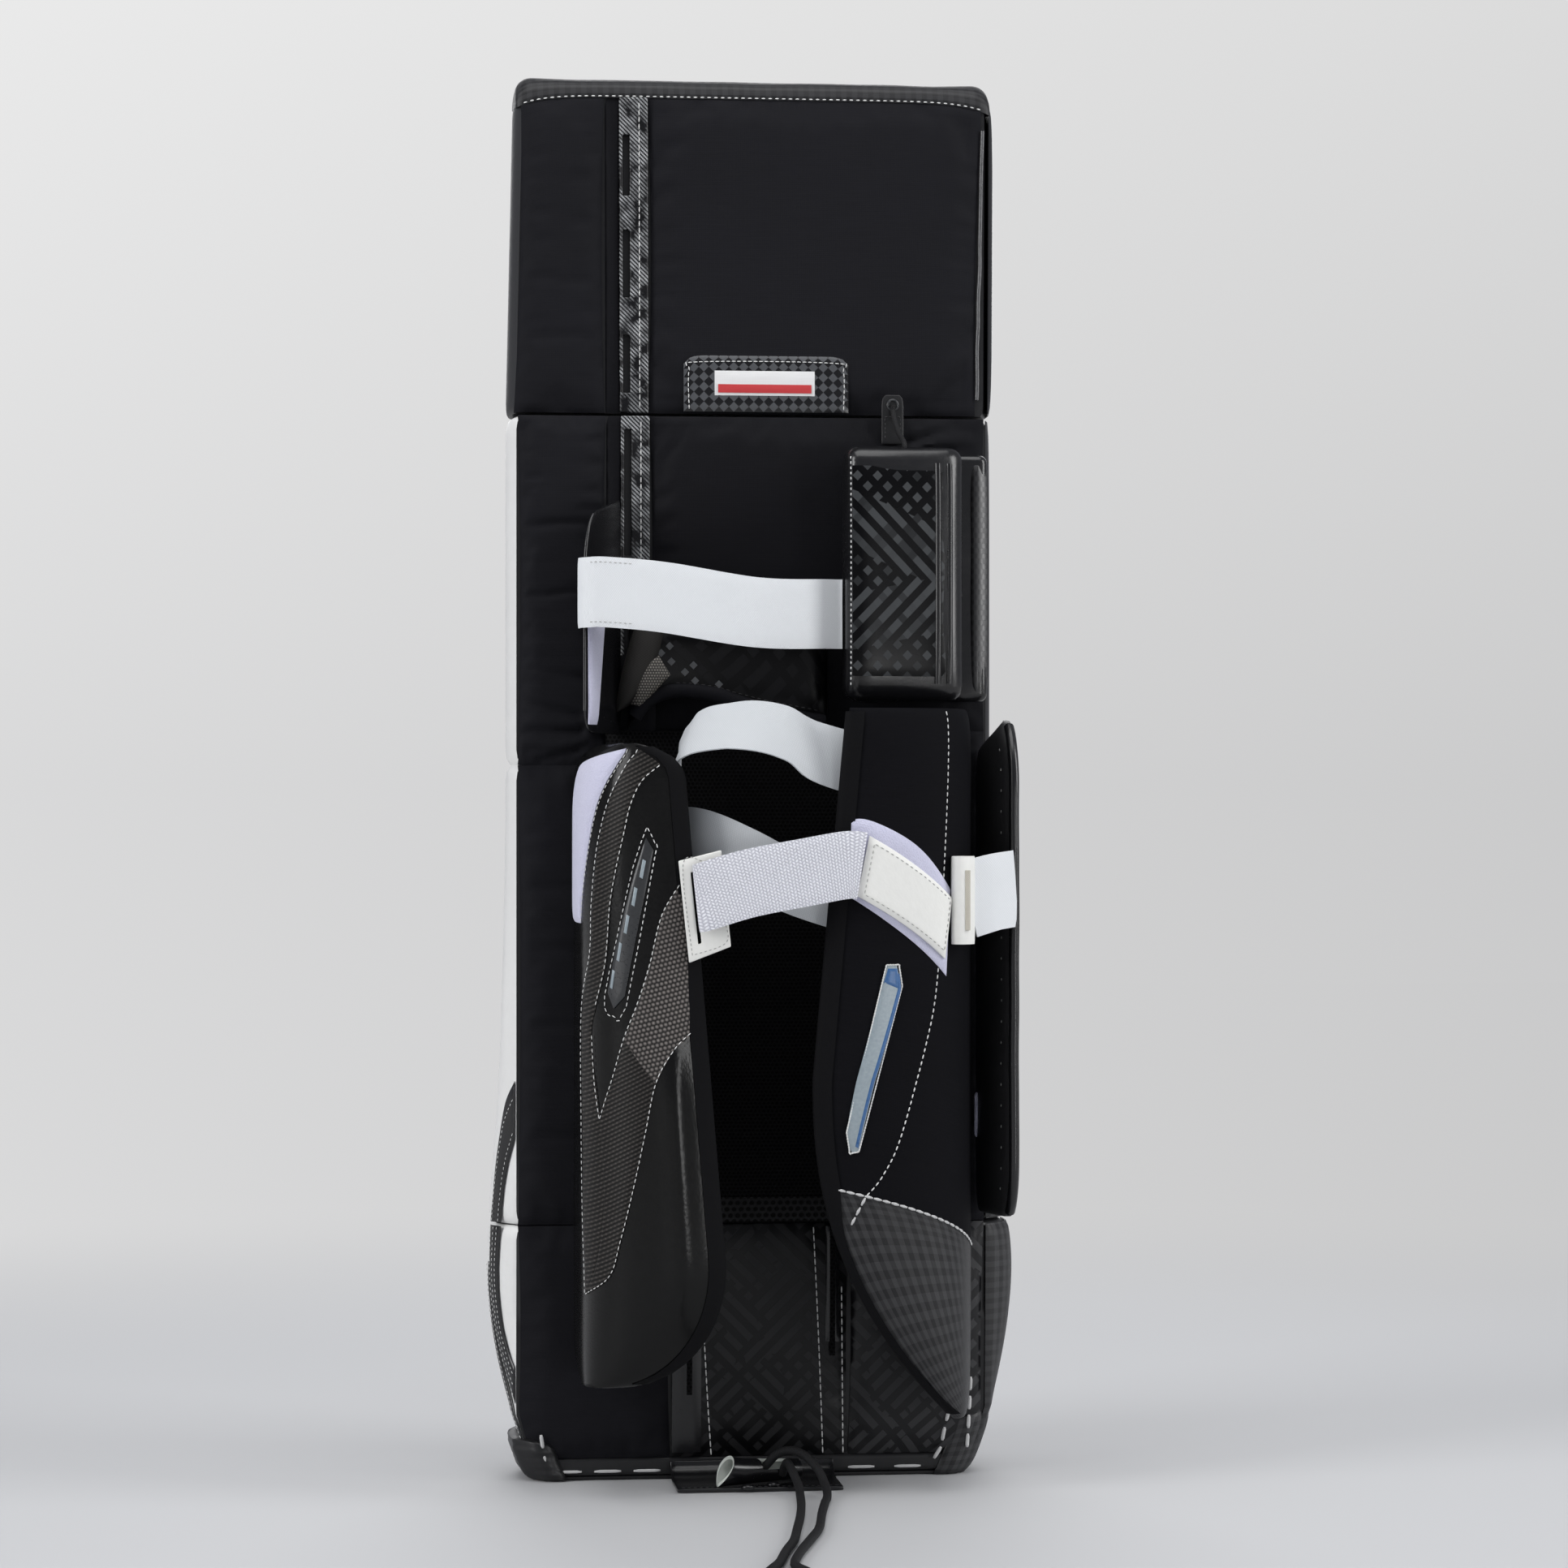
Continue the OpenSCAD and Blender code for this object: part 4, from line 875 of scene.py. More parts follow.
# Webbing: white beads with painted shade between them
finish("white_webbing", "white_webbing", webbing, 1.9, 0.6, (0.44, 0.51), (0.88, 0.89, 0.93), (0.65, 0.5),
       mottle=0.03, gloss=0.3)
finish("pile", "pile", fuzz, 0.9, 0.7, (0.46, 0.60), (0.66, 0.80), (0.95, 0.9), mottle=0.05, gloss=0.1,
       sheen=0.3)
finish("hook_tape", "hook", hooks, 1.3, 0.5, (0.010, 0.011), (0.05, 0.053), (0.7, 0.5))
finish("bungee", "bungee", braid, 1.6, 0.25, (0.004, 0.005), (0.012, 0.013), (0.75, 0.65), gloss=0.25)

finish("lace_cord", None, braid, 1.4, 0.25, (0.50, 0.50), (0.74, 0.73), (0.7, 0.6), mottle=0.05)
finish("white_thread", None, braid, 0.5, 0.06, (0.55, 0.54), (0.72, 0.71), (0.7, 0.6), mottle=0.05,
       by_object=True)
finish("grey_thread", None, braid, 0.5, 0.06, (0.30, 0.29), (0.42, 0.40), (0.7, 0.6), mottle=0.05,
       by_object=True)
finish("black_thread", None, braid, 0.5, 0.06, (0.010, 0.011), (0.024, 0.026), (0.6, 0.5), by_object=True)
finish("cut_edge", None, grain, 0.8, 0.10, (0.50, 0.53, 0.49), (0.62, 0.65, 0.61), (0.8, 0.9), mottle=0.08,
       by_object=True)


# Camera, at the photograph's place

CAMERA_TURN = math.radians(6.5)
CAMERA_FAR, CAMERA_LENS, SENSOR_W = 2500, 97.96, 36
TARGET = Vector((18.7, Y_BACK, 407))


def aimed(name, data, place, way):
    """Camera or light at a place, looking along a way."""
    obj = bpy.data.objects.new(name, data)
    obj.location = place
    obj.rotation_mode = "QUATERNION"
    obj.rotation_quaternion = way.to_track_quat("-Z", "Y")
    scene.collection.objects.link(obj)
    return obj


def make_camera():
    data = bpy.data.cameras.new("camera")
    data.lens = CAMERA_LENS
    data.sensor_width = SENSOR_W
    back = Vector((-math.sin(CAMERA_TURN), -math.cos(CAMERA_TURN), 0))
    scene.camera = aimed("camera", data, (TARGET + back * CAMERA_FAR) * MM, -back)


make_camera()


# Elastic toe cord, out of the toggle, along the floor and back

CORD_ROUTE = [
    (-6, -38, 8), (0, -38, 9), (5, -40, 14), (10, -43, 20), (17, -47, 23), (25, -52, 21),
    (32, -59, 14), (35, -68, 7), (35, -80, 4), (33, -95, 3), (30, -110, 3), (24, -145, 3),
    (17, -190, 3), (8, -225, 3), (-1, -258, 3), (-8, -290, 3), (-8, -305, 3), (-4, -320, 3),
    (-3, -335, 3), (-9, -346, 3), (-18, -348, 3), (-26, -340, 3), (-27, -325, 3), (-22, -308, 3),
    (-16, -290, 3), (-9, -258, 3), (-1, -226, 3), (5, -190, 3), (11, -153, 3), (16, -115, 3),
    (19, -85, 3), (20, -68, 6), (18, -57, 12), (16, -48, 16), (15, -42, 13), (14, -38, 8)
]


def make_cord(name, path, diameter, sides, body, node):
    cord = round_piece(name, tube(path, diameter, sides), body, "bungee", [node])
    run_length(path) * MM
    return cord


def make_toe_cord():
    path = spaced(route([(x, y + TOGGLE_Y + 38, z) for x, y, z in CORD_ROUTE], 6), 260)
    make_cord("toe_cord_loop", path, CORD_D, 12, "boot_section", "toe_cord")


make_toe_cord()


# Foam sections in their outer wraps

def outline(rear, hw, back, face, r):
    """Loop round a section seen from above, from the back of its outer side."""
    deep = evenly(back, face - r, 8)
    wide = [mix(rear, hw, math.sin(math.pi / 2 * clamp((y - back) / SIDE_RUN))) for y in deep]
    side = [Vector((-wide[i], deep[i], 0)) for i in range(8)]
    turn = [math.pi * (1 - 0.5 * i / 8) for i in range(8)]
    outer = [Vector((-hw + r + r * math.cos(a), face - r + r * math.sin(a), 0)) for a in turn]
    front = [Vector((x, face, 0)) for x in evenly(-hw + r, hw - r, 20)[:-1]]
    turn = [math.pi / 2 * (1 - i / 8) for i in range(8)]
    inner = [Vector((hw - r + r * math.cos(a), face - r + r * math.sin(a), 0)) for a in turn]
    far = [Vector((wide[8 - i], deep[8 - i], 0)) for i in range(9)]
    last = [Vector((x, back, 0)) for x in evenly(rear, -rear, 14)[1:-1]]
    return side + outer + front + inner + far + last


def make_wrap(name, low, high, back, body, finish_name, nodes, seams=(), lean=False, round_in=4):
    """Stuffed section, drawn in at its ends and breaks, dark on its back and the rear of its inner side."""
    face_line = mix(back, Y_FACE, 0.62)
    zs = [low, low + 1.5, low + 4, low + 8, high - 8, high - 4, high - 1.5, high]
    zs += evenly(low + 14, high - 14, 16)
    for seam in seams:
        zs += [seam - 9, seam - 4, seam - 1.5, seam, seam + 1.5, seam + 4, seam + 9]
    zs = sorted(set(zs))

    def boot_kick(z):
        return kick(z) if z < Z_BOOT else 0

    def drawn(z):
        ends = min(z - low, high - z)
        sewn = min([abs(z - s) for s in seams] or [99])
        return round_in * round_off(1 - ends / 9) + 3.0 * clamp(1 - sewn / 8) ** 2

    loops = []
    for z in zs:
        inset, shift = drawn(z), boot_kick(z)
        loops.append(outline(rear_w(z) - inset, half_w(z) - inset, back + 1 + shift, Y_FACE + shift - inset,
                             CORNER_R))

    def place(k, i):
        p = Vector((loops[i][k].x, loops[i][k].y, zs[i]))
        sway = (THIGH_SWAY + THIGH_TAPER * clamp(-2 * p.x / PAD_W)) * thigh_share(p.z)
        return leaned(p + Vector((sway, 0, 0))) if lean else p

    made = loft(len(loops[0]), len(zs), place)
    for face in made[0].faces:
        mid = face.calc_center_median()
        deep = mid.y - boot_kick(mid.z)
        dark = deep < back + 1.6 or len(face.verts) > 4 or (mid.x > PAD_W / 2 - 8 and deep < face_line)
        face.material_index = 1 if dark else 0
    round_piece(name, made, body, finish_name, nodes, 0.9, "black_leather")


make_wrap("shin_wrap", SHIN_LOW, SHIN_TOP, Y_BACK, "shin_section", "white_face", ["shin_core", "shin_face"],
          seams=[Z_KNEE])
make_wrap("thigh_wrap", THIGH_LOW, Z_TOP, Y_THIGH, "thigh_section", "black_leather",
          ["thigh_core", "thigh_face"], lean=True, round_in=1.5)
make_wrap("boot_wrap", SOLE_T, BOOT_TOP, Y_BACK, "boot_section", "white_face", ["boot_core", "boot_face"])


# Nylon back panels, stuffed and puckered along their seams

def outer_edge(z):
    return -rear_w(z) + 1


def inner_edge(z):
    return rear_w(z) - 1


def thigh_outer_edge(z):
    return mix(-139, -134.5, thigh_share(z))


def thigh_inner_edge(z):
    return mix(133, 138, thigh_share(z))


def upright(x):
    return lambda z: x


def no_drop(x):
    return 0.0


def cap_drop(x):
    """How far the cap's seam drops towards both ends."""
    return 6.5 * clamp(abs(x - 3) / 140) ** 9


def crease(x, z, lines):
    """Depth of sewn-in folds at a place: each has two ends, a depth and a width."""
    total = 0.0
    for x0, z0, x1, z1, depth, width in lines:
        way, here = Vector((x1 - x0, z1 - z0)), Vector((x - x0, z - z0))
        t = clamp(here.dot(way) / way.length_squared)
        total += depth * (1 - t) ** 0.6 * math.exp(-((here - way * t).length / width) ** 2)
    return total


SETTLE_STEPS = 18


def settle(obj, loose, growth, cap):
    """Lets a stuffed face swell and wrinkle as cloth, held at its seams and kept near its place."""
    held = obj.vertex_groups.new(name="held")
    held.add([i for i in range(len(obj.data.vertices)) if i not in loose], 1.0, "REPLACE")
    cloth_settling = obj.modifiers.new("settling", "CLOTH")
    settings = cloth_settling.settings
    settings.vertex_group_mass = "held"
    settings.quality = 6
    settings.mass = 0.05
    settings.tension_stiffness = 10
    settings.compression_stiffness = 10
    settings.shear_stiffness = 4
    settings.bending_stiffness = 0.02
    settings.shrink_min = -growth
    settings.use_pressure = True
    settings.uniform_pressure_force = 6
    settings.effector_weights.gravity = 0
    cloth_settling.collision_settings.use_collision = False
    cloth_settling.point_cache.frame_start = 1
    cloth_settling.point_cache.frame_end = SETTLE_STEPS
    for step in range(1, SETTLE_STEPS + 1):
        scene.frame_set(step)
    settled = obj.evaluated_get(bpy.context.evaluated_depsgraph_get())
    places = [v.co.copy() for v in settled.to_mesh().vertices]
    settled.to_mesh_clear()
    for i in loose:
        vert = obj.data.vertices[i]
        move = places[i] - vert.co
        vert.co += move * min(1.0, cap * MM / max(move.length, 1e-9))
    obj.modifiers.remove(cloth_settling)
    obj.vertex_groups.remove(held)
    scene.frame_set(1)


def make_panel(name, z0, z1, left, right, surface, body, finish_name, node, crown=CROWN, seed=0.0,
               pucker=0.9, cell=3.2, folds=(), growth=0.012, give=1.6, drop=no_drop):
    """Crowned cushion between its seams, with small folds that die out away from them."""
    columns = max(8, int((right((z0 + z1) / 2) - left((z0 + z1) / 2)) / cell))
    rows = max(8, int((z1 - z0) / cell))

    def place(u, v, side):
        z = mix(z0, z1, v)
        pull = 1.5 * 4 * v * (1 - v)
        x0, x1 = left(z) + pull, right(z) - pull
        x = mix(x0, x1, u)
        to_side, to_end = min(x - x0, x1 - x), min(z - z0, z1 - z)
        z -= drop(x) * v
        if side < 0:
            return surface(x, z, -PANEL_T + 1)
        small = noise.noise(Vector((x / 40, z / 7, seed))) * math.exp(-to_side / 14)
        small += noise.noise(Vector((x / 7, z / 40, seed + 5))) * math.exp(-to_end / 14)
        broad = noise.noise(Vector((x / 55, z / 55, seed + 9)))
        stuffed = pillow(u, 5) * pillow(v, 5)
        height = crown * stuffed * (0.86 + 0.14 * broad) + pucker * small * stuffed
        return surface(x, z, height - crease(x, z, folds) * min(1.0, 1.6 * stuffed))

    bm = slab(columns, rows, place)
    u_of, v_of = layers(bm)[:2]
    bm.verts.index_update()
    loose = {v.index for v in bm.verts if 1e-4 < v[u_of] < 0.9999 and 1e-4 < v[v_of] < 0.9999
             and (v.co - place(v[u_of], v[v_of], 1)).length < 1e-3}
    obj = piece(name, bm, body, finish_name, [node])
    settle(obj, loose, growth, give)


KNEE_SIDE_FOLDS = [(-101, 447, -137, 456, 2.6, 2.4), (-103, 441, -137, 443, -1.4, 2.6),
                   (-101, 438, -136, 437, 2.8, 2.2), (-101, 431, -137, 430, -1.6, 2.6),
                   (-102, 427, -130, 420, 2.6, 2.2), (-88, 519, -136, 517, 1.2, 2.2),
                   (-88, 468, -134, 474, 1.4, 3.0)]
ANCHOR_FOLDS = [(88, 607, 124, 618, 3.0, 2.6), (92, 603, 130, 612, -2.0, 2.6),
                (99, 600, 136, 606, 3.0, 2.4), (78, 608, 60, 618, 1.6, 2.6)]
BOOT_PANEL_Z = SOLE_T + BINDING_H + 0.1
make_panel("thigh_outer_cushion", THIGH_LOW, Z_TOP, thigh_outer_edge, upright(OUTER_SEAM_X), thigh_back,
           "thigh_section", "black_nylon", "thigh_outer_panel", seed=1.0, drop=cap_drop)
make_panel("thigh_main_cushion", THIGH_LOW, Z_TOP, upright(STRIP_X), thigh_inner_edge, thigh_back,
           "thigh_section", "black_nylon", "thigh_panel", seed=2.0, drop=cap_drop)
make_panel("knee_outer_cushion", Z_KNEE + 0.1, SHIN_TOP, outer_edge, upright(OUTER_SEAM_X), shin_back,
           "shin_section", "black_nylon", "knee_outer_panel", seed=3.0, pucker=1.4, cell=2.0,
           folds=KNEE_SIDE_FOLDS, growth=0.02)
make_panel("knee_main_cushion", KNEE_SEAM_Z + 0.1, SHIN_TOP, upright(STRIP_X), inner_edge, shin_back,
           "shin_section", "knee_nylon", "knee_panel", seed=4.0, cell=2.6, folds=ANCHOR_FOLDS)
make_panel("shin_outer_cushion", SHIN_LOW, Z_KNEE, outer_edge, upright(OUTER_SEAM_X), shin_back,
           "shin_section", "black_nylon", "shin_outer_panel", seed=5.0, pucker=1.3)
make_panel("shin_inner_cushion", SHIN_LOW, KNEE_SEAM_Z, upright(INNER_SEAM_X), inner_edge, shin_back,
           "shin_section", "black_nylon", "shin_inner_panel", seed=6.0)
make_panel("boot_outer_cushion", BOOT_PANEL_Z, BOOT_TOP, outer_edge, upright(CHANNEL_LEFT), boot_back,
           "boot_section", "black_nylon", "boot_outer_panel", seed=7.0, pucker=1.2)
make_panel("boot_channel_cushion", BOOT_PANEL_Z, BOOT_TOP, upright(CHANNEL_LEFT), upright(CHANNEL_RIGHT),
           boot_back, "boot_section", "channel_leather", "boot_channel", crown=3, seed=8.0, give=0.3)
make_panel("boot_inner_cushion", BOOT_PANEL_Z, BOOT_TOP, upright(CHANNEL_RIGHT), inner_edge, boot_back,
           "boot_section", "boot_leather", "boot_inner_panel", seed=9.0, give=0.3)


# Leg liner: hollowed air mesh with an open hem along its foot

def liner_at(u, z):
    x = mix(OUTER_SEAM_X, INNER_SEAM_X, u)
    swell = mix(2, 8, (2 * u - 1) ** 2) * pillow(u, 12)
    return Vector((x, Y_BACK - swell, z))


def make_liner():
    def place(u, v, side):
        p = liner_at(u, mix(SHIN_LOW, KNEE_SEAM_Z, v))
        return p if side > 0 else Vector((p.x, Y_BACK + PANEL_T - 1, p.z))

    def hem(u, v, side):
        p = liner_at(mix(0.02, 0.98, u), mix(SHIN_LOW + 1, SHIN_LOW + 15, v))
        return p - Vector((0, (1.2 if side > 0 else 0.1) * mix(0.5, 1, pillow(v, 6)), 0))

    piece("leg_lining", slab(36, 40, place), "shin_section", "air_mesh", ["leg_liner"], fill=0.4)
    piece("liner_hem", slab(36, 6, hem), "shin_section", "hem_mesh")


make_liner()


# Lace strips with long slots, and the white stitching beside them

STRIP_EDGE_X = -77.2


def make_strip(name, z0, z1, slots, surface, body, node):
    """Glossy strip with long slots beside a dark fold of cloth."""
    xs = [STRIP_EDGE_X, STRIP_EDGE_X + 0.8, -75.4, -71, STRIP_X - 1.2, STRIP_X - 0.4]
    rows = sorted([z0, z0 + 1, z1 - 1, z1] + [z for s in slots for z in s])

    def value_at(values, t):
        n = len(values) - 1
        i = min(int(t * n + 1e-6), n - 1)
        return mix(values[i], values[i + 1], t * n - i)

    def keep(u, v):
        return not (0.4 < u < 0.6 and any(s[0] < value_at(rows, v) < s[1] for s in slots))

    def place(u, v, side):
        return surface(value_at(xs, u), value_at(rows, v), 3.0 if side > 0 else -0.5)

    bm = smooth_edges(slab(5, len(rows) - 1, place, keep), 0.8)
    piece(name, bm, body, "strip_twill", [node], sharp=60)
    fold = flat_patch(surface, OUTER_SEAM_X + 0.5, STRIP_EDGE_X + 1, z0, z1, 2.4, -1.5, 8, 40, 0.2, 2.5)
    piece(name + "_fold", fold, body, "knee_nylon")
    seam_x = STRIP_X - 5.6
    sew(name + "_seam", surface, [[(seam_x, z0 + 3), (seam_x, z1 - 3)]], 3.1, body, pitch=4.0, length=3.5,
        width=0.7)


make_strip("thigh_lacing_strip", THIGH_LOW, Z_TOP, [(634, 668), (690, 730), (750, 786)], thigh_back,
           "thigh_section", "thigh_lace_strip")
make_strip("knee_lacing_strip", KNEE_SEAM_Z, SHIN_TOP, [(452, 520), (540, 614)], shin_back,
           "shin_section", "knee_lace_strip")


# Rolled cap along the top of the thigh section

def make_cap():
    shift, hw, end_r, middle, steps = 3.0, 140.5, 10, (Y_THIGH + Y_FACE) / 2, 20
    xs = [-hw * math.cos(math.pi * i / 70) for i in range(71)]

    def place(k, i):
        full = math.sqrt(max(0.0, 1 - clamp((abs(xs[i]) - hw + end_r) / end_r) ** 2))
        a = math.pi * (1 - k / steps)
        soft = 0.6 * noise.noise(Vector((xs[i] / 30, k / 7, 2.0))) * full
        deep = (THIGH_T / 2 + 0.4) * mix(0.88, 1, full)
        height = (CAP_H * mix(0.35, 1, full) + soft) * math.sin(a) ** 0.6
        lowered = cap_drop(xs[i] + shift) * clamp(1 - k / 6)
        return leaned((xs[i] + shift, middle + deep * math.cos(a), Z_TOP + 0.1 + height - lowered))

    round_piece("thigh_cap", loft(steps + 1, len(xs), place), "thigh_section", "cap_leather", ["top_cap"],
                0.9)
    seam = [(x, Z_TOP + 0.8 - cap_drop(x)) for x in range(-134, 141, 4)]
    sew("cap_seam", thigh_back, [seam], 1.6, "thigh_section", pitch=4.0, length=2.4, width=0.8)


make_cap()


# Bare label patch low on the thigh

def make_label_patch():
    body = "thigh_section"
    left, right, low, top = -40, 57, Z_THIGH + 1, Z_THIGH + 34

    def place(u, v, side):
        arch = 5 * round_off(1 - min(u, 1 - u) / 0.12)
        thick = 2.2 * mix(0.4, 1, min(pillow(u, 14), pillow(v, 10))) if side > 0 else -0.5
        return thigh_back(mix(left, right, u), mix(low, top - arch, v), CROWN + thick)

    piece("label_leather_patch", slab(32, 12, place), body, "label_leather", ["label_patch"])
    tag = flat_patch(thigh_back, -22, 37, low + 9.5, low + 24, 0.7, CROWN + 2.1, 10, 6, 0.3)
    piece("bare_tag", tag, body, "white_tag")
    bar = flat_patch(thigh_back, -20, 35, low + 11, low + 16, 0.3, CROWN + 2.75, 10, 4, 0.3)
    piece("bare_tag_bar", bar, body, "red_tag")
    edge = [(left + 3, low + 1), (left + 3, top - 9), (left + 9, top - 4), (right - 9, top - 4),
            (right - 3, top - 9), (right - 3, low + 1)]
    sew("label_border", thigh_back, [edge], CROWN + 2.3, body, pitch=3.2, length=2.7)


make_label_patch()


# Knee cradle: arched pad with a soft cheek, a mesh corner, a rolled rim and small pale squares of painted
# highlight

CRADLE_LEFT, CRADLE_RIGHT, CRADLE_TOP = STRIP_X - 13, BLOCK_LEFT - 6, KNEE_SEAM_Z + 62
CRADLE_ARCH = route([(CRADLE_LEFT, 439, 0), (-64, 453, 0), (-48, 460, 0), (-24, 458, 0), (-9, 453, 0),
                     (13, 447, 0), (CRADLE_RIGHT, 441, 0)], 8)
# Places of the small pale squares, painted highlights on the cradle's pressed leather
CRADLE_GLINTS = [(-55, 483), (-50, 487), (-49, 478), (-41, 472), (-36, 476), (-56, 468), (-35, 467),
                  (-21, 465)]


def cradle_low(x):
    for a, b in zip(CRADLE_ARCH, CRADLE_ARCH[1:]):
        if x <= b.x:
            return mix(a.y, b.y, clamp((x - a.x) / (b.x - a.x)))
    return CRADLE_ARCH[-1].y


def cradle_at(u, v, off):
    x = mix(CRADLE_LEFT, CRADLE_RIGHT, u)
    z = mix(cradle_low(x), CRADLE_TOP - 8 * round_off((u - 0.7) / 0.3), v)
    deep = 3 + (mix(9, 17, (2 * u - 1) ** 2) - 3) * pillow(u, 6) * pillow(v, 4)
    return Vector((x, Y_SEAT - deep - off, z))


def make_cradle():
    body = "shin_section"

    def place(u, v, side):
        p = cradle_at(u, v, 0)
        return p if side > 0 else Vector((p.x, Y_SEAT + 0.2, p.z))

    def cheek(u, v, side):
        a, b = 2 * u - 1, 2 * v - 1
        dome = math.sqrt(max(0.0, 1 - abs(a) ** 2.6) * max(0.0, 1 - abs(b) ** 2.6))
        x, z = -66 + 11 * a * (1 - 0.16 * b * b) + 6 * b, 479 + 26 * b + 5 * a
        return Vector((x, Y_SEAT - 7 - (11 * dome if side > 0 else 0), z))

    piece("knee_cradle_pad", slab(40, 20, place), body, "cradle_leather", ["knee_cradle"], fill=0.8)
    piece("cradle_cheek", slab(20, 24, cheek), body, "stretch_cloth", fill=0.8)
    corner = patch(cradle_at, [(0.005, 0.22), (0.05, 0.42), (0.14, 0.56)],
                   [(0.06, 0.02), (0.13, 0.10), (0.2, 0.26)], 1.6, 4.0, 8, 14, 0.2, 4)
    piece("cradle_mesh_corner", corner, body, "silver_mesh")
    fold = flat_patch(shin_back, -84, -57, KNEE_SEAM_Z - 1, KNEE_SEAM_Z + 44, 3.2, 3.2, 10, 14, 0.3, 4)
    piece("cradle_side_fold", fold, body, "knee_nylon")
    rim = [cradle_at(u / 40, 0.03, 1.5) for u in range(1, 40)]
    round_piece("cradle_rim", tube(rim, 9, 12), body, "black_nylon")
    line = [(cradle_at(u / 40, 0.14, 0.3), REARWARD) for u in range(9, 39)]
    stitches("cradle_seam", [line], body, "black_thread")
    # Small pale squares raised on the pad: painted highlights where its pressed squares catch the light
    bm = new_mesh()
    turn = Matrix.Rotation(math.pi / 4, 4, "Y") @ Matrix.Diagonal((3.4, 0.6, 3.4, 1))
    for x, z in CRADLE_GLINTS:
        u = (x - CRADLE_LEFT) / (CRADLE_RIGHT - CRADLE_LEFT)
        v = (z - cradle_low(x)) / (CRADLE_TOP - cradle_low(x))
        bmesh.ops.create_cube(bm, size=1, matrix=Matrix.Translation(cradle_at(u, v, 0.2)) @ turn)
    piece("cradle_painted_glint_squares", bm, body, "painted_glint_square")


make_cradle()


# Elastic cord of the knee block, from its sewn anchor

def make_knee_cord():
    body = "shin_section"
    x, y, eye_z, eye_r = 82, Y_BACK - CROWN * 0.9, 629, 3

    def place(u, v, side):
        half = 6.5 * (1 - 0.35 * round_off((v - 0.75) / 0.25))
        return Vector((x + half * (2 * u - 1), y - (2.3 if side > 0 else 0.3), mix(606, 635, v)))

    piece("cord_anchor_tab", smooth_edges(slab(8, 14, place), 0.5), body, "black_leather", ["cord_anchor"])
    turns = [2 * math.pi * i / 18 for i in range(19)]
    eye = [Vector((x + eye_r * math.cos(a), y - 2.5, eye_z + eye_r * math.sin(a))) for a in turns]
    piece("cord_anchor_eyelet", tube(eye, 1.6, 8)[0], body, "grey_badge", slot="")
    sewn = ((-4.5, 609), (-4.5, 622), (4.5, 622), (4.5, 609))
    line = [(Vector((x + dx, y - 2.3, z)), REARWARD) for dx, z in sewn]
    stitches("cord_anchor_stitching", [line], body, "black_thread", 2.4, 1.7)
    y_top, y_low = y - 4.1, Y_BASE - 17
    low = BLOCK_Z + BLOCK_H + 0.3
    halfway = (x + 1, mix(y_top, y_low, 0.45), mix(eye_z, low, 0.55))
    points = [(x, y_top, eye_z), (x, y_top - 1, 623), halfway, (x + 2, y_low, low + 6), (x + 2, y_low, low)]
    path = spaced(route(points, 8), 40)
    cord = make_cord("knee_block_cord", path, KNEE_CORD_D, 10, None, "knee_cord")
    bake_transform(cord, "shin_section", "knee_block", path[0] * MM, path[-1] * MM)


make_knee_cord()


# White elastics across the leg channel, painted darker than the other white elastic as painted shade

def upper_roll(v):
    """Turn of the upper elastic, which lies back where it rounds the leg."""
    return -math.radians(42) * clamp((v - 0.22) / 0.2) * clamp((0.86 - v) / 0.36)


def make_elastic(name, points, ends, node, roll=None):
    """Elastic from the leg liner through points behind the leg to the medial wing."""
    off, wide = -WING_T / 2 - 0.6 - ELASTIC_T / 2, ELASTIC_W * 0.86
    path = [Vector((x, Y_BACK + y, Z_KNEE + z)) for x, y, z in points]
    path += [wing_point(1, inner_section(Z_KNEE + dz), t, Z_KNEE + dz, off) for t, dz in ends]
    line = spaced(route(path, 8), 70)
    elastic = piece(name, strap(line, wide, ELASTIC_T, columns=10, roll=roll), None, "shaded_leg_elastic", [node])
    run_length(line) * MM
    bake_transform(elastic, "shin_section", "medial_wing", at(line, 0.3) * MM, at(line, 0.8) * MM)


make_elastic("upper_leg_elastic", [(-44, -5, -14), (-46, -40, -8), (-49, -70, 6), (-42, -91, 18),
                                   (-16, -101, 22), (8, -99, 18), (28, -91, 7)], [(0.88, -4), (0.74, -10)],
             "upper_elastic", upper_roll)
make_elastic("lower_leg_elastic", [(-53, -5.2, -43), (-52, -38, -42), (-48, -66, -41), (-36, -84, -43),
                                   (-14, -90, -53), (16, -88, -68)],
             [(0.9, -81), (0.74, -89)], "lower_elastic")


# Sides of the pad: black inner wall with a checked roll, and curved bands on the white outer wall

def make_wall(name, surface, y0, y1, z0, z1, thick, off, columns, rows, edge, power, body, finish_name,
              **how):
    """Layer on a side wall between two depths and two heights."""
    wall = flat_patch(surface, y0, y1, z0, z1, thick, off, columns, rows, edge, power)
    piece(name, wall, body, finish_name, **how)


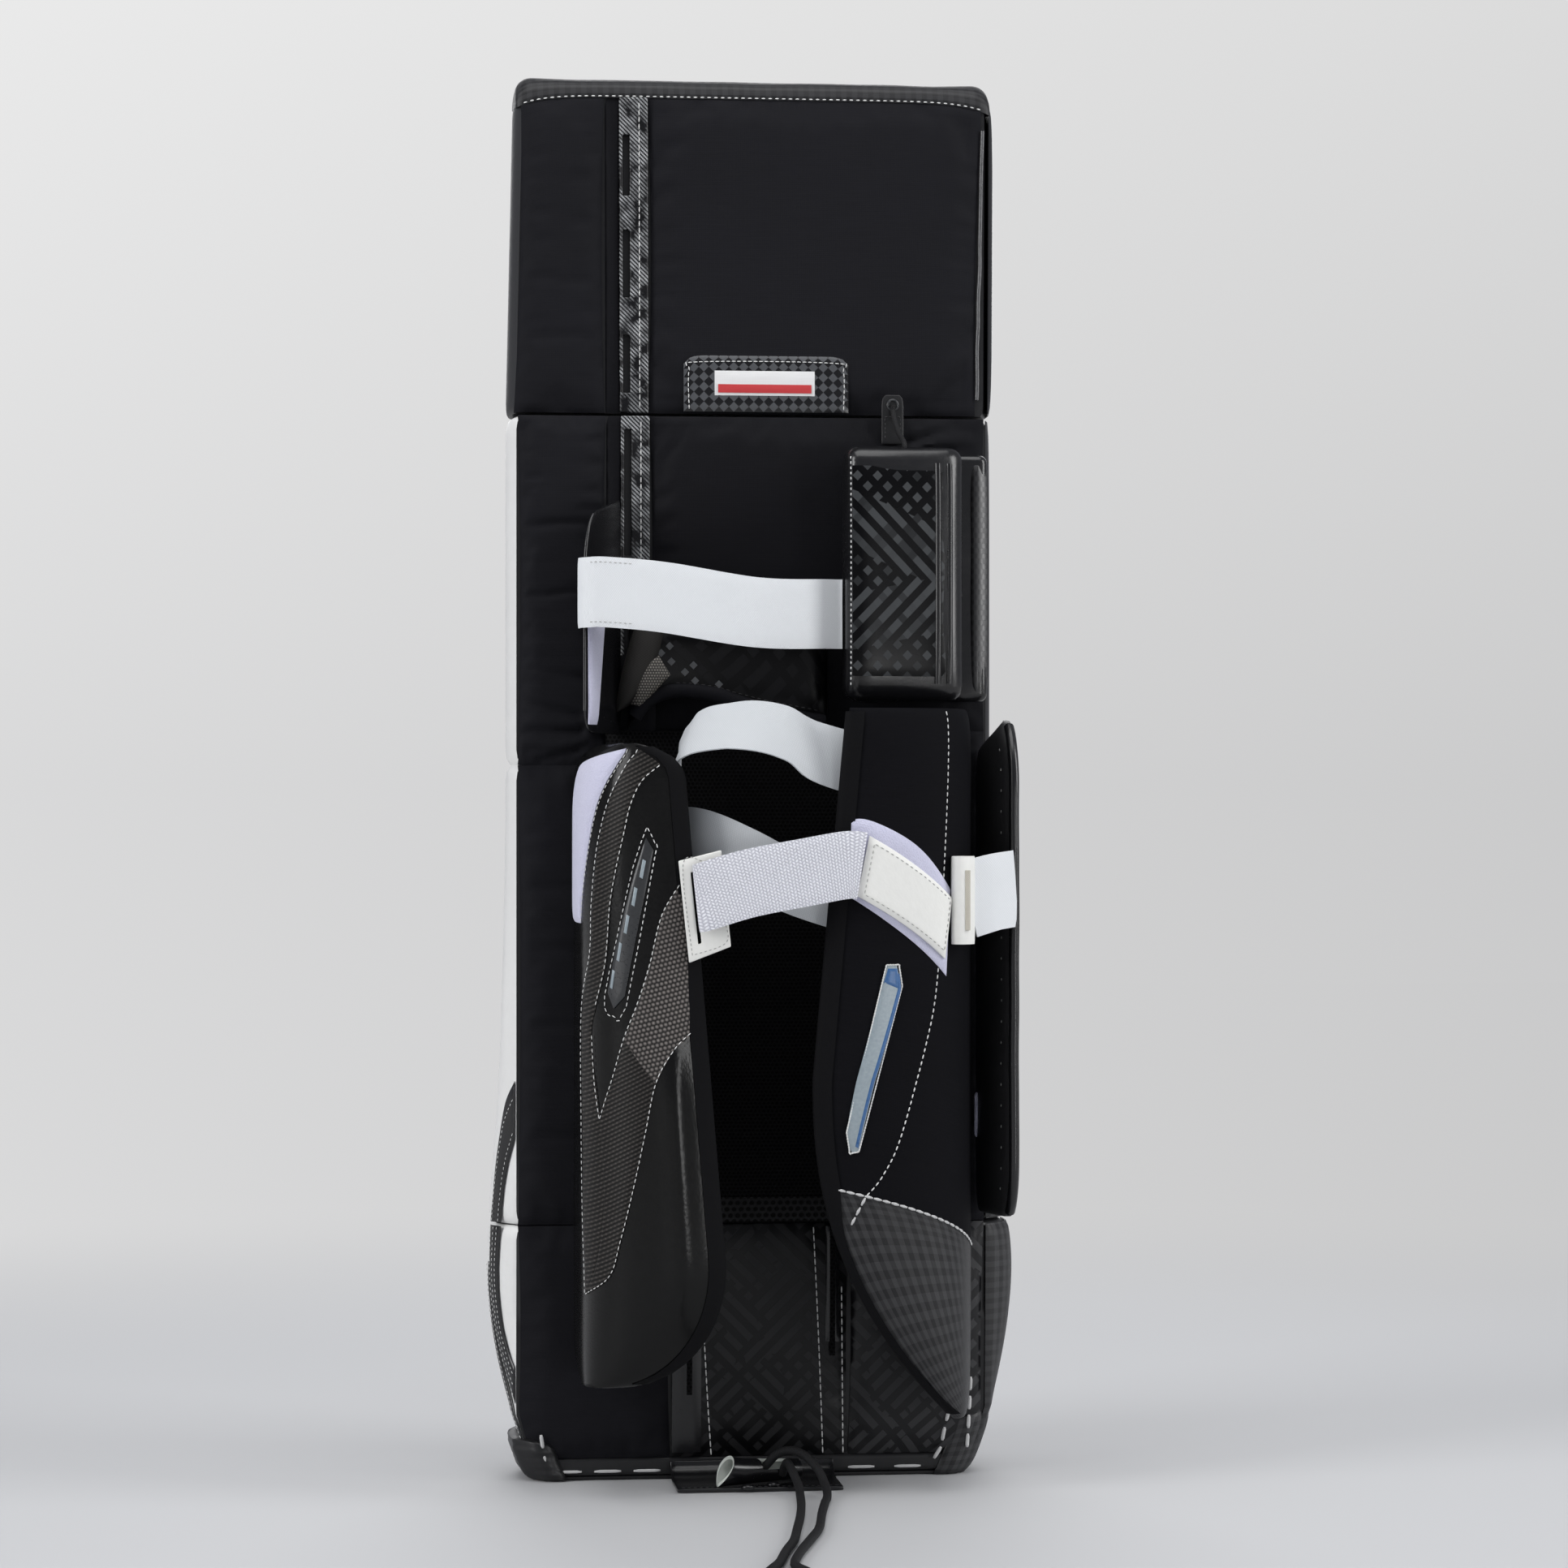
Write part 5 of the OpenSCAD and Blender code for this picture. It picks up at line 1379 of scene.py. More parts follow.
def make_sides():
    make_wall("inner_side_gusset", inner_wall, -34, 2, Z_BOOT + 1, Z_THIGH - 1, 1.4, -0.4, 12, 60, 0.2, 10,
              "shin_section", "black_leather", nodes=["medial_gusset"])
    roll = patch(inner_wall, [(-35, Z_BOOT + 2), (-34, Z_BOOT + 95)], [(0, Z_BOOT + 2), (0, Z_BOOT + 95)],
                 5, 0.2, 16, 30, 0.15, 3)
    piece("shin_side_roll", roll, "shin_section", "check_leather", fill=0.8)
    make_wall("boot_side_roll", inner_wall, -35, 4, 14, Z_BOOT - 2, 5, 0.2, 16, 36, 0.15, 3,
              "boot_section", "check_leather", fill=0.8)
    make_wall("thigh_side_piping", thigh_inner_wall, -25, 0, Z_THIGH + 2, Z_TOP - 2, 2.5, 0.0, 10, 40, 0.2,
              4, "thigh_section", "gloss_leather")
    # Thigh edge piping, painted grey as a highlight along the inner edge
    edge = []
    for z in evenly(Z_THIGH + 10, Z_TOP - 16, 60):
        uneven = 0.8 * noise.noise(Vector((0, 0, z / 25)))
        edge.append(thigh_back(thigh_inner_edge(z) + 0.8 + uneven, z, 0.6))
    round_piece("thigh_edge_piping", tube(edge, 2.4, 8), "thigh_section", "painted_highlight_piping")


def make_band(name, left, right, body, rows):
    """Curved leather band on the outer wall, between two lines, with rows of stitches along it."""
    piece(name, patch(outer_wall, left, right, 1.2, 0.1, 8, 40, 0.3, 8), body, "gloss_leather")
    lines = [[(mix(a[0], b[0], k), mix(a[1], b[1], k)) for a, b in zip(left, right)] for k in rows]
    sew(name + "_stitching", outer_wall, lines, 1.3, body, pitch=3.0, length=2.0)


make_sides()
make_band("shin_outer_band",
          [(-34, 234), (-25, 220), (-20, 196), (-17.5, 172), (-17, 151)],
          [(-34, 200), (-30, 187), (-27.5, 174), (-26.5, 162), (-26, 151)], "shin_section", (0.3, 0.88))
make_band("boot_outer_band", [(-17, 149), (-16, 123), (-17.5, 98), (-21.5, 73), (-28, 55), (-34, 46)],
          [(-26, 149), (-24, 118), (-25.5, 92), (-28.5, 79), (-31, 72), (-34, 67)], "boot_section",
          (0.2, 0.5, 0.8))
make_band("boot_low_band", [(-11.5, 127), (-12, 104), (-15, 70), (-20, 50), (-27, 32), (-34, 22)],
          [(-13.5, 127), (-16.5, 104), (-20, 72), (-25.5, 54), (-30.5, 42), (-34, 34)], "boot_section",
          (0.25, 0.75))


# Boot: sole, bound toe edge, channel seams and corner wraps

def make_sole():
    loops = [outline(rear_w(0) + d, half_w(0) + d, -PAD_T / 2 - d, PAD_T / 2 + d, CORNER_R)
             for d in (-1.2, 0, 0, -1.2)]
    zs = [0, 0.9, SOLE_T - 0.9, SOLE_T]
    made = loft(len(loops[0]), 4, lambda k, i: Vector((loops[i][k].x, loops[i][k].y, zs[i])))
    round_piece("sole_sheet", made, "boot_section", "black_leather", ["sole"])


def make_toe_edge():
    body = "boot_section"
    y = Y_BACK + kick(SOLE_T)
    path = [Vector((x, y + 2 + 0.5 * noise.noise(Vector((x / 20, 0, 0))), SOLE_T + BINDING_H / 2))
            for x in range(-121, 122, 6)]
    piece("toe_edge_binding", strap(path, BINDING_H + 1, 7, columns=10, edge=0.3), body, "black_leather",
          ["toe_binding"])
    rows = [[(Vector((x, y - 2.2, 5.6)), REARWARD) for x in evenly(a, b, 8)]
            for a, b in ((-119, -50), (51, 106))]
    lace = stitches("toe_edge_lacing", rows, body, "lace_cord", 22, 16.5, 1.8, True)
    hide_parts("bottom_lace")
    corners = [[(117, 42), (113.5, 28), (111.6, 17.5), (106, 9)], [(129, 60), (128, 35), (127, 15)],
               [(-124, 30), (-122, 16), (-120, 7)]]
    sew("toe_corner_lacing", boot_back, corners, 5.5, body, thread="lace_cord", pitch=10, length=8.5,
        width=2.2, blunt=True)


def make_toe_corner(name, side, height, bulk, wrinkle, leather, node):
    """Leather wrapped round a lower corner of the boot."""
    def line_at(z, off):
        ys = evenly(Y_BACK, Y_FACE - CORNER_R, 8)
        line = [Vector((rear_w(z) - 16, Y_BACK - off, 0)), Vector((rear_w(z) - 5, Y_BACK - off, 0))]
        line += [Vector((wall_x(y, z) + off, y, 0)) for y in ys[1:]]
        x, y, r = half_w(z) - CORNER_R, Y_FACE - CORNER_R, CORNER_R + off
        turn = [math.pi / 2 * i / 6 for i in range(1, 7)]
        line += [Vector((x + r * math.cos(a), y + r * math.sin(a), 0)) for a in turn]
        return spaced(line, 30)

    def place(u, v, sign):
        z = mix(0.5, height - 6 * (1 - pillow(u, 4)), v)
        swell = mix(0.3, 1, min(pillow(u, 6), pillow(v, 4)))
        folds = wrinkle * noise.noise(Vector((u * 2.5, z * 0.3, 0)))
        p = at(line_at(max(z, 2), 0.4 + ((bulk + folds) * swell if sign > 0 else 0)), u)
        return Vector((side * p.x, p.y + kick(z), z))

    piece(name, slab(34, 20, place), "boot_section", leather, [node])


def make_boot_seams():
    body = "boot_section"
    rows = [[(-29, 93), (-26.5, 50), (-24, 14)], [(35.6, 148), (39, 80), (41.8, 14)],
            [(52.3, 113), (53, 60), (53.7, 14)]]
    sew("boot_channel_seams", boot_back, rows, 3.5, body, pitch=4.6, length=4.2, width=0.85)
    for name, x0, x1, z0, z1 in (("boot_lace_strip", -47, -30, 16, 146),
                                 ("boot_slot_strip", 43, 51, 80, 148)):
        piece(name, flat_patch(boot_back, x0, x1, z0, z1, 1.2, 2.6, 6, 30, 0.3), body, "gloss_leather")
    for name, x, z0, z1 in (("boot_left_slot", -37, 50, 128), ("boot_right_slot", 47, 72, 146)):
        piece(name, flat_patch(boot_back, x - 1.6, x + 1.6, z0, z1, 0.5, 3.7, 4, 24, 0.2), body, "air_mesh")


make_sole()
make_toe_edge()
make_toe_corner("outer_corner_wrap", -1, 26, 7.0, 0.9, "black_leather", "outer_toe_corner")
make_toe_corner("inner_corner_wrap", 1, 38, 5.0, 0.0, "check_leather", "inner_toe_corner")
make_boot_seams()


# Toe bridge and the rolled toggle on it

def make_bridge():
    start = Y_BACK + kick(SOLE_T) - 2.9
    points = [(0, start, 11), (0, start - 0.6, 8.5), (0, start - 5, 4), (0, start - 14, 1.5),
              (0, TOGGLE_Y + 4, 1.5), (0, TOGGLE_Y - 14, 1.5)]
    path = spaced(route(points, 6), 24)
    bm = smooth_edges(strap(path, 96, 2.2, (1, 0, 0), 30, 1.0), 0.5)
    piece("toe_bridge_flap", bm, "boot_section", "gloss_leather", ["toe_bridge"])
    row = [(Vector((x, TOGGLE_Y - 11, 2.7)), (0, 0, 1)) for x in evenly(-46, 46, 20)]
    stitches("toe_bridge_seam", [row], "boot_section", "black_thread", 3.4, 2.4)


TOGGLE_TURN = math.radians(24)


def make_toggle():
    """Leather folded into a tube with a window, pinched along its foot and cut slantwise at its open end."""
    c, w = math.cos(TOGGLE_TURN), math.sin(TOGGLE_TURN)

    def turned(x, y, z):
        return Vector((1 + x * c - y * w, TOGGLE_Y + x * w + y * c, z))

    def place(u, v, side):
        turn = mix(-3.0, 3.0, u)
        low = (1 - math.cos(turn)) / 2
        full = mix(8.6, 6.4, v ** 0.6)
        r = full - (0 if side > 0 else 1.8)
        narrow = 1 - 0.6 * low ** 2 * (1 - v) ** 0.5
        slant = 9 * (low - 0.3) * max(0.0, 1 - v / 0.3) ** 1.5
        z = 3.0 + full + r * math.cos(turn) * mix(1.0, 0.9, v)
        return turned(mix(-22, 25, v) - slant, r * math.sin(turn) * narrow, z)

    def keep(u, v):
        return not (0.28 < u < 0.52 and 0.44 < v < 0.84)

    piece("rolled_toggle", slab(44, 30, place, keep), "boot_section", "gloss_leather", ["toe_toggle"],
          rim="cut_edge", lining="cut_edge", sharp=40)
    bm = new_mesh()
    for x in (-14, 3):
        flat = Matrix.Translation(turned(x, -10.5, 3.4)) @ Matrix.Diagonal((8, 7, 3.6, 1))
        bmesh.ops.create_uvsphere(bm, u_segments=16, v_segments=8, radius=0.5, matrix=flat)
    piece("toggle_rivets", bm, "boot_section", "gloss_leather")


make_bridge()
make_toggle()


# Calf wings

def outer_crest(t):
    return OUTER_TOP - 15 * clamp(1 - t / 0.5) ** 2


def inner_crest(t):
    return INNER_TOP - 14 * clamp(1 - t / 0.4) ** 2


def flare_line(t):
    return mix(FLARE_LOW, FLARE_HIGH, t)


def wing_span(side):
    return (OUTER_LOW, OUTER_TOP, outer_section) if side < 0 else (INNER_LOW, INNER_TOP, inner_section)


def make_wing(name, side, height, body, finish_name, node, rows=56):
    low, top, section = wing_span(side)

    def place(u, v, sign):
        t = 1 - (1 - u) ** 1.5
        z = height(t, slow_ends(v))
        off = WING_T / 2 * wing_edge(t, (z - low) / (top - low))
        return wing_point(side, section(z), t, z, sign * (off + edge_roll(side, t, z)))

    piece(name, slab(36, rows, place), body, finish_name, [node], fill=0.8)


def make_edge_binding(name, side, body, width, foot):
    """Cloth binding folded round a wing's free edge, of another width at its foot."""
    low, top, section = wing_span(side)

    def place(u, v, sign):
        z = mix(low + 3, top - 2, v)
        base, share = section(z), clamp((z - low) / (top - low))
        edge_off = WING_T / 2 * wing_edge(1.0, share)
        run = sum((cubic(base, (i + 1) / 20) - cubic(base, i / 20)).length for i in range(16, 20)) / 4 * 20
        reach = mix(foot, width, clamp((z - 150) / 30)) / run
        half = 2 * abs(u - 0.5)
        t = 1 - reach * clamp((half - 0.3) / 0.7)
        flat = WING_T / 2 * wing_edge(t, share)
        off = mix(-1, 1, clamp((u - 0.35) / 0.3)) * edge_off if half < 0.3 else math.copysign(flat, u - 0.5)
        extra = 0.9 if sign > 0 else 0.0
        bow = math.sqrt(max(0.0, 1 - clamp(half / 0.3) ** 2))
        past = (edge_off * bow * 0.6 + extra) if half < 0.3 else 0.0
        p = wing_point(side, base, t, z, off + math.copysign(extra, u - 0.5) * (0.0 if half < 0.1 else 1.0))
        way = cubic_way(base, 1.0)
        return p + Vector((side * way.x, way.y, 0)) * past

    piece(name, slab(16, 60, place), body, "edge_nylon")


TWILL_LEFT = [(.884, 427), (.787, 419), (.725, 406), (.667, 389), (.606, 367), (.559, 338), (.536, 311),
              (.42, 276), (.41, 217), (.42, 160), (.45, 118)]
TWILL_RIGHT = [(.934, 418), (.857, 410), (.808, 397), (.769, 379), (.725, 359), (.686, 338), (.651, 306),
               (.579, 282), (.532, 263), (.593, 218), (.608, 172), (.546, 135), (.452, 118)]
MESH_LEFT = [(.965, 351), (.899, 333), (.847, 305), (.793, 283), (.733, 264), (.671, 241), (.593, 218)]
MESH_LOW = [(.966, 268), (.911, 258), (.848, 239), (.802, 210), (.747, 178), (.688, 150), (.624, 129),
            (.455, 118)]
MESH_EDGE = [(.975, 352), (.978, 323), (.975, 292)]
LOWER_LEFT = MESH_LEFT[4:] + [(.606, 172), (.55, 137), (.458, 119)]
TWILL_CORNER = [(.545, 266), (.56, 240), (.593, 218)]
BADGE = [(.866, 383), (.894, 373), (.885, 364), (.749, 282), (.685, 277), (.65, 279), (.642, 288),
         (.714, 319), (.802, 360)]
PLATE_LEFT = [(.86, 377), (.80, 354), (.71, 315), (.66, 290)]
PLATE_RIGHT = [(.885, 370), (.87, 360), (.745, 288), (.69, 281)]
PILE_EDGE = [(.40, 328), (.44, 345), (.51, 366), (.59, 389), (.66, 406), (.73, 419), (.80, 427)]
PILE_BACK = [(.13, 328), (.12, 375), (.14, 400), (.26, 419)]


def make_outer_wing():
    body = "outer_calf_wing"
    make_wing("outer_wing_shell", -1, lambda t, v: mix(OUTER_LOW, outer_crest(t), v), body, "wing_leather",
              "outer_wing")
    twill = patch(outer_wing_at, TWILL_LEFT, TWILL_RIGHT, 0.7, 0.1, 12, 70, 0.2)
    piece("outer_wing_twill", twill, body, "wing_twill")
    mesh = patch(outer_wing_at, MESH_LEFT[:5], MESH_EDGE + MESH_LOW[:3], 0.9, 0.1, 16, 40, 0.2)
    piece("outer_wing_mesh", mesh, body, "wing_mesh")
    lower = patch(outer_wing_at, LOWER_LEFT, MESH_LOW[2:], 0.8, 0.1, 12, 50, 0.2)
    piece("outer_wing_lower_twill", lower, body, "wing_twill")
    plate = patch(outer_wing_at, PLATE_LEFT, PLATE_RIGHT, 0.9, 0.4, 8, 40, 0.3, 6, 1)
    piece("outer_wing_plate", plate, body, "grey_badge")
    for i in range(5):
        t, z = mix(.85, .70, i / 4), mix(360, 298, i / 4)
        stroke = patch(outer_wing_at, [(t - .022, z - 5), (t - .006, z + 5)],
                       [(t - .010, z - 6), (t + .006, z + 4)], 0.4, 1.3, 4, 8, 0.4, 6, 1)
        piece("outer_wing_plate_stroke_%d" % (i + 1), stroke, body, "silver_badge")
    lines = (TWILL_LEFT, TWILL_RIGHT[:8], MESH_LEFT, MESH_LOW, TWILL_CORNER)
    rows = [on_surface(outer_wing_at, line, 0.9) for line in lines]
    rows.append(on_surface(outer_wing_at, BADGE + BADGE[:1], 0.5, 2))
    stitches("outer_wing_stitching", rows, body)
    make_edge_binding("outer_wing_binding", -1, body, 6.5, 6.5)
    sew("outer_wing_pile_seam", outer_wing_at, [[(t + .012, z) for t, z in PILE_EDGE]], 0.5, body,
        pitch=3.4)
    pile = patch(outer_wing_at, PILE_BACK, PILE_EDGE, 2.4, -0.3, 28, 50, 0.3, 8)
    piece("outer_wing_pile_patch", pile, body, "pile", ["outer_wing_pile"])


INNER_SEAM = [(.613, 449), (.618, 391), (.646, 299), (.694, 258), (.784, 208), (.85, 186), (.905, 174.5)]
INNER_BADGE = [(.847, 305), (.807, 305), (.793, 293), (.91, 200), (.933, 199), (.937, 211)]


def make_inner_wing():
    body = "medial_wing"
    make_wing("medial_wing_shell", 1, lambda t, v: mix(flare_line(t), inner_crest(t), v), body,
              "wing_nylon", "inner_wing")
    make_wing("medial_wing_flare", 1, lambda t, v: mix(INNER_LOW, flare_line(t) - 0.3, v), body,
              "flare_leather", "inner_wing_flare", 36)
    make_edge_binding("medial_wing_binding", 1, body, 7, 2.8)
    top, _, left, low, _, right = INNER_BADGE
    plate = patch(inner_wing_at, [(.830, 305), top, right, (.935, 203)],
                  [(.815, 305), left, low, (.925, 199)], 0.9, 0.3, 8, 60, 0.4, 12, 1)
    piece("medial_wing_plate", plate, body, "silver_badge")
    bar = patch(inner_wing_at, [(.812, 300), (.806, 293), (.918, 203)],
                [(.804, 300), (.796, 291), (.911, 202)], 0.6, 0.9, 4, 50, 0.4, 8, 1)
    piece("medial_wing_plate_bar", bar, body, "blue_badge")
    end = patch(inner_wing_at, [(.842, 303), (.852, 295)], [(.812, 303), (.800, 291)], 0.6, 0.9, 6, 10,
                0.4, 8, 1)
    piece("medial_wing_plate_end", end, body, "blue_badge")
    rim = [on_surface(inner_wing_at, INNER_BADGE + INNER_BADGE[:1], 0.9, 1)]
    stitches("medial_wing_plate_rim", rim, body, pitch=1.6, length=2.4, width=1.0)
    sew("medial_wing_seam", inner_wing_at, [INNER_SEAM], 0.2, body, pitch=3.8, length=2.8, width=0.9)
    cross = [[(t, flare_line(t)) for t in (.975, .9, .75, .5, .3)], [(.905, 174.5), (.93, 167), (.96, 158)]]
    sew("medial_wing_cross_seam", inner_wing_at, cross, 0.4, body, thread="lace_cord", pitch=5.2,
        length=5.6, width=1.7)
    pile = patch(inner_wing_at, [(.965, 344), (.833, 327), (.72, 313), (.6, 298)],
                 [(.981, 387), (.914, 386), (.75, 371), (.585, 347)], 1.7, 0.0, 20, 40, 0.3, 8)
    piece("medial_wing_pile_patch", pile, body, "pile", ["inner_wing_pile"])


def make_flap():
    body = "medial_wing"
    low, top, lean = Z_BOOT + 6, Z_KNEE + 26, 9

    def flap_at(u, z, off):
        reach = FLAP_D * (1 - 0.55 * round_off((z - top + 40) / 40) - 0.45 * round_off((low + 30 - z) / 30))
        sway = 0.9 * noise.noise(Vector((u * 2, z / 45, 3.0))) * u
        return Vector((FLAP_X + lean * u ** 1.5 + off + sway, Y_SEAT - reach * u, z))

    def place(u, v, side):
        w = slow_ends(v)
        edge = 0.36 + 0.64 * min(pillow((u + 1) / 2, 6), pillow(w, 14))
        return flap_at(u, mix(low, top - 16 * (1 - u), w), side * FLAP_T / 2 * edge)

    def inner_face(u, z, off):
        return flap_at(u, z, -FLAP_T / 2 - off)

    # The flap's leather is painted lighter as painted light
    piece("medial_flap_pad", slab(18, 60, place), body, "flap_leather_painted_light", ["medial_flap"], fill=0.8)
    edge = [flap_at(0.985, z, 0.0) for z in evenly(low + 4, top - 4, 70)]
    round_piece("medial_flap_piping", tube(edge, 6, 10), body, "gloss_leather")
    row = [(flap_at(0.86, z, -4.6), (-1, 0, 0)) for z in evenly(low + 12, top - 12, 60)]
    stitches("medial_flap_stitching", [row], body, "grey_thread", 12.0, 1.8, 0.6)
    pile = patch(inner_face, [(.03, 200), (.03, 212), (.03, 226)], [(.07, 200), (.10, 212), (.09, 226)],
                 1.6, 0.0, 8, 30, 0.3, 6)
    piece("medial_flap_pile_strip", pile, body, "pile")


make_outer_wing()
make_inner_wing()
make_flap()


# White strap across the calf: keeper, webbing and hook tab

def tab_at(s, k, off):
    t = mix(mix(.944, .923, k), mix(.627, .596, k), s)
    z = mix(mix(344, 378, k), mix(308, 342, k), s)
    return wing_point(1, inner_section(z), t, z, WING_T / 2 + 0.1 + PILE_T + 0.3 + off)


def make_calf_strap():
    corners = [Vector((-47, 0, 307)), Vector((-23.5, 0, 316)), Vector((-53, 0, 364)), Vector((-29, 0, 370))]
    y = Y_BACK - CHANNEL_D - WING_T / 2 - 0.3

    def keeper_at(u, v, off):
        p = corners[0].lerp(corners[1], u).lerp(corners[2].lerp(corners[3], u), v)
        return Vector((p.x, y - off, p.z))

    def place(u, v, side):
        return keeper_at(u, v, LEATHER_T + 0.5 if side > 0 else 0.4)

    def keep(u, v):
        return not (0.25 < u < 0.335 and 0.14 < v < 0.86)

    def tab(u, v, side):
        swell = mix(0.5, 1, min(pillow(u, 14), pillow(v, 14)))
        return tab_at(u, v, LEATHER_T * swell if side > 0 else 0.0)

    piece("strap_keeper_plate", smooth_edges(slab(12, 14, place, keep), 0.6), "outer_calf_wing",
          "white_leather", ["strap_keeper"])
    rows = [[(.09, .05), (.09, .95), (.55, .94)], [(.12, .06), (.9, .06), (.9, .3)]]
    sew("strap_keeper_stitching", keeper_at, rows, LEATHER_T + 0.5, "outer_calf_wing", thread="grey_thread",
        pitch=2.6, length=1.8, width=0.6)
    joint = tab_at(0.0, 0.5, LEATHER_T / 2)
    start = Vector((-43, -146, CALF_STRAP_Z))
    points = [start, start + Vector((4, -2, 1)), start.lerp(joint, 0.3) + Vector((0, -6, 3)),
              start.lerp(joint, 0.65) + Vector((0, -7, 3)), joint + Vector((-10, -2.5, 0.5)),
              joint + Vector((-1, -1.4, 0))]
    line = spaced(route(points, 8), 44)
    piece("calf_strap_webbing", strap(line, WEBBING_W, WEBBING_T, columns=12), "calf_strap",
          "white_webbing", ["calf_webbing"])
    piece("calf_strap_hook_tab", slab(30, 16, tab), "calf_strap", "white_leather", ["calf_strap_tab"])
    border = [(.05, .08), (.05, .92), (.5, .92), (.95, .92), (.95, .08), (.5, .08), (.05, .08)]
    rows = []
    for a, b in zip(border, border[1:]):
        places = zip(evenly(a[0], b[0], 8), evenly(a[1], b[1], 8))
        rows.append([(tab_at(s, k, LEATHER_T), REARWARD) for s, k in places])
    stitches("calf_strap_tab_stitching", rows, "calf_strap", "grey_thread", 3.2, 2.2, 0.6)


LOOP_T, LOOP_Z, LOOP_H = 0.55, CALF_STRAP_Z - 2, 50


def make_keeper_loop():
    body = "medial_wing"
    base = inner_section(LOOP_Z)
    way = cubic_way(base, LOOP_T)
    out = Vector((-way.y, way.x))
    mid = cubic(base, LOOP_T) + out * (WING_T / 2 + 0.3 + 5.5)

    def on_loop(a, b, rise=0):
        p = mid + way * a + out * b
        return Vector((p.x, p.y, LOOP_Z)) + Vector((0, 0, rise))

    turns = [math.pi * (-0.5 + i / 10) for i in range(11)]
    ring = [on_loop(2.5 + 4.5 * math.cos(a), 4.5 * math.sin(a)) for a in turns]
    ring += [on_loop(-2.5 - 4.5 * math.cos(a), -4.5 * math.sin(a)) for a in turns]
    ring = spaced(ring + ring[:1], 44)
    piece("leather_keeper_loop", strap(ring, LOOP_H, 2, columns=14, edge=0.8), body, "white_leather",
          ["keeper_loop"])
    cord = [on_loop(3.6, 5.3, rise) for rise in evenly(-17, 17, 24)]
    round_piece("keeper_loop_cord", tube(cord, 3.4, 10), body, "beige_cord")
    seam = [(on_loop(-6.6, 3.0, rise), (-way.x, -way.y, 0)) for rise in evenly(-23, 23, 20)]
    stitches("keeper_loop_stitching", [seam], body, "grey_thread", 2.8, 1.9, 0.6)
    first = on_loop(-5.5, 0)
    last = Vector((FLAP_X + 9, Y_SEAT - FLAP_D - ELASTIC_T, LOOP_Z + 6))
    line = spaced(route([first, first.lerp(last, 0.5) + Vector((0, -3, 1)), last], 8), 20)
    piece("keeper_loop_elastic", strap(line, 44, ELASTIC_T, columns=10), body, "white_elastic",
          ["keeper_elastic"])


make_calf_strap()
make_keeper_loop()


# Knee block, its strap and the outer knee wing

def box_loop(x0, x1, y0, y1, r):
    """Rectangle with round corners, seen from above."""
    loop = []
    for cx, cy, first, way in ((x0 + r, y1 - r, 180, (1, 0)), (x1 - r, y1 - r, 90, (0, -1)),
                               (x1 - r, y0 + r, 0, (-1, 0)), (x0 + r, y0 + r, -90, (0, 1))):
        corner = [math.radians(first - a) for a in range(0, 91, 15)]
        loop += [Vector((cx + r * math.cos(a), cy + r * math.sin(a), 0)) for a in corner]
        run = (x1 - x0 if way[0] else y1 - y0) - 2 * r
        loop += [loop[-1] + Vector((*way, 0)) * run * i / 8 for i in range(1, 8)]
    return loop


def make_cushion_box(name, x0, x1, y0, y1, z0, z1, r, crown, slope, node):
    """Stuffed box, crowned and sloped on its rear face."""
    ends = [math.radians(a) for a in range(90, -1, -15)]
    zs = [z0 + r * (1 - math.sin(a)) for a in ends] + evenly(z0 + r, z1 - r, 14)[1:-1]
    zs += [z1 - r * (1 - math.sin(a)) for a in reversed(ends)]

    def loop_at(z):
        inset = r * round_off(max(0, z0 + r - z, z - z1 + r) / r) * 0.85
        v = (z - z0) / (z1 - z0)
        loop = []
        for p in box_loop(x0 + inset, x1 - inset, y0 + inset, y1, max(1.5, r - inset * 0.6)):
            u, rear = (p.x - x0) / (x1 - x0), (y1 - p.y) / (y1 - y0)
            soft = 0.7 * noise.noise(Vector((p.x / 30, p.y / 30, z / 40)))
            shift = slope * u - crown * pillow(u, 4) * pillow(v, 4) + soft
            loop.append(Vector((p.x, p.y + rear * shift, z)))
        return loop

    loops = [loop_at(z) for z in zs]
    made = loft(len(loops[0]), len(zs), lambda k, i: loops[i][k])
    round_piece(name, made, "knee_block", "gloss_leather", [node], 0.9)


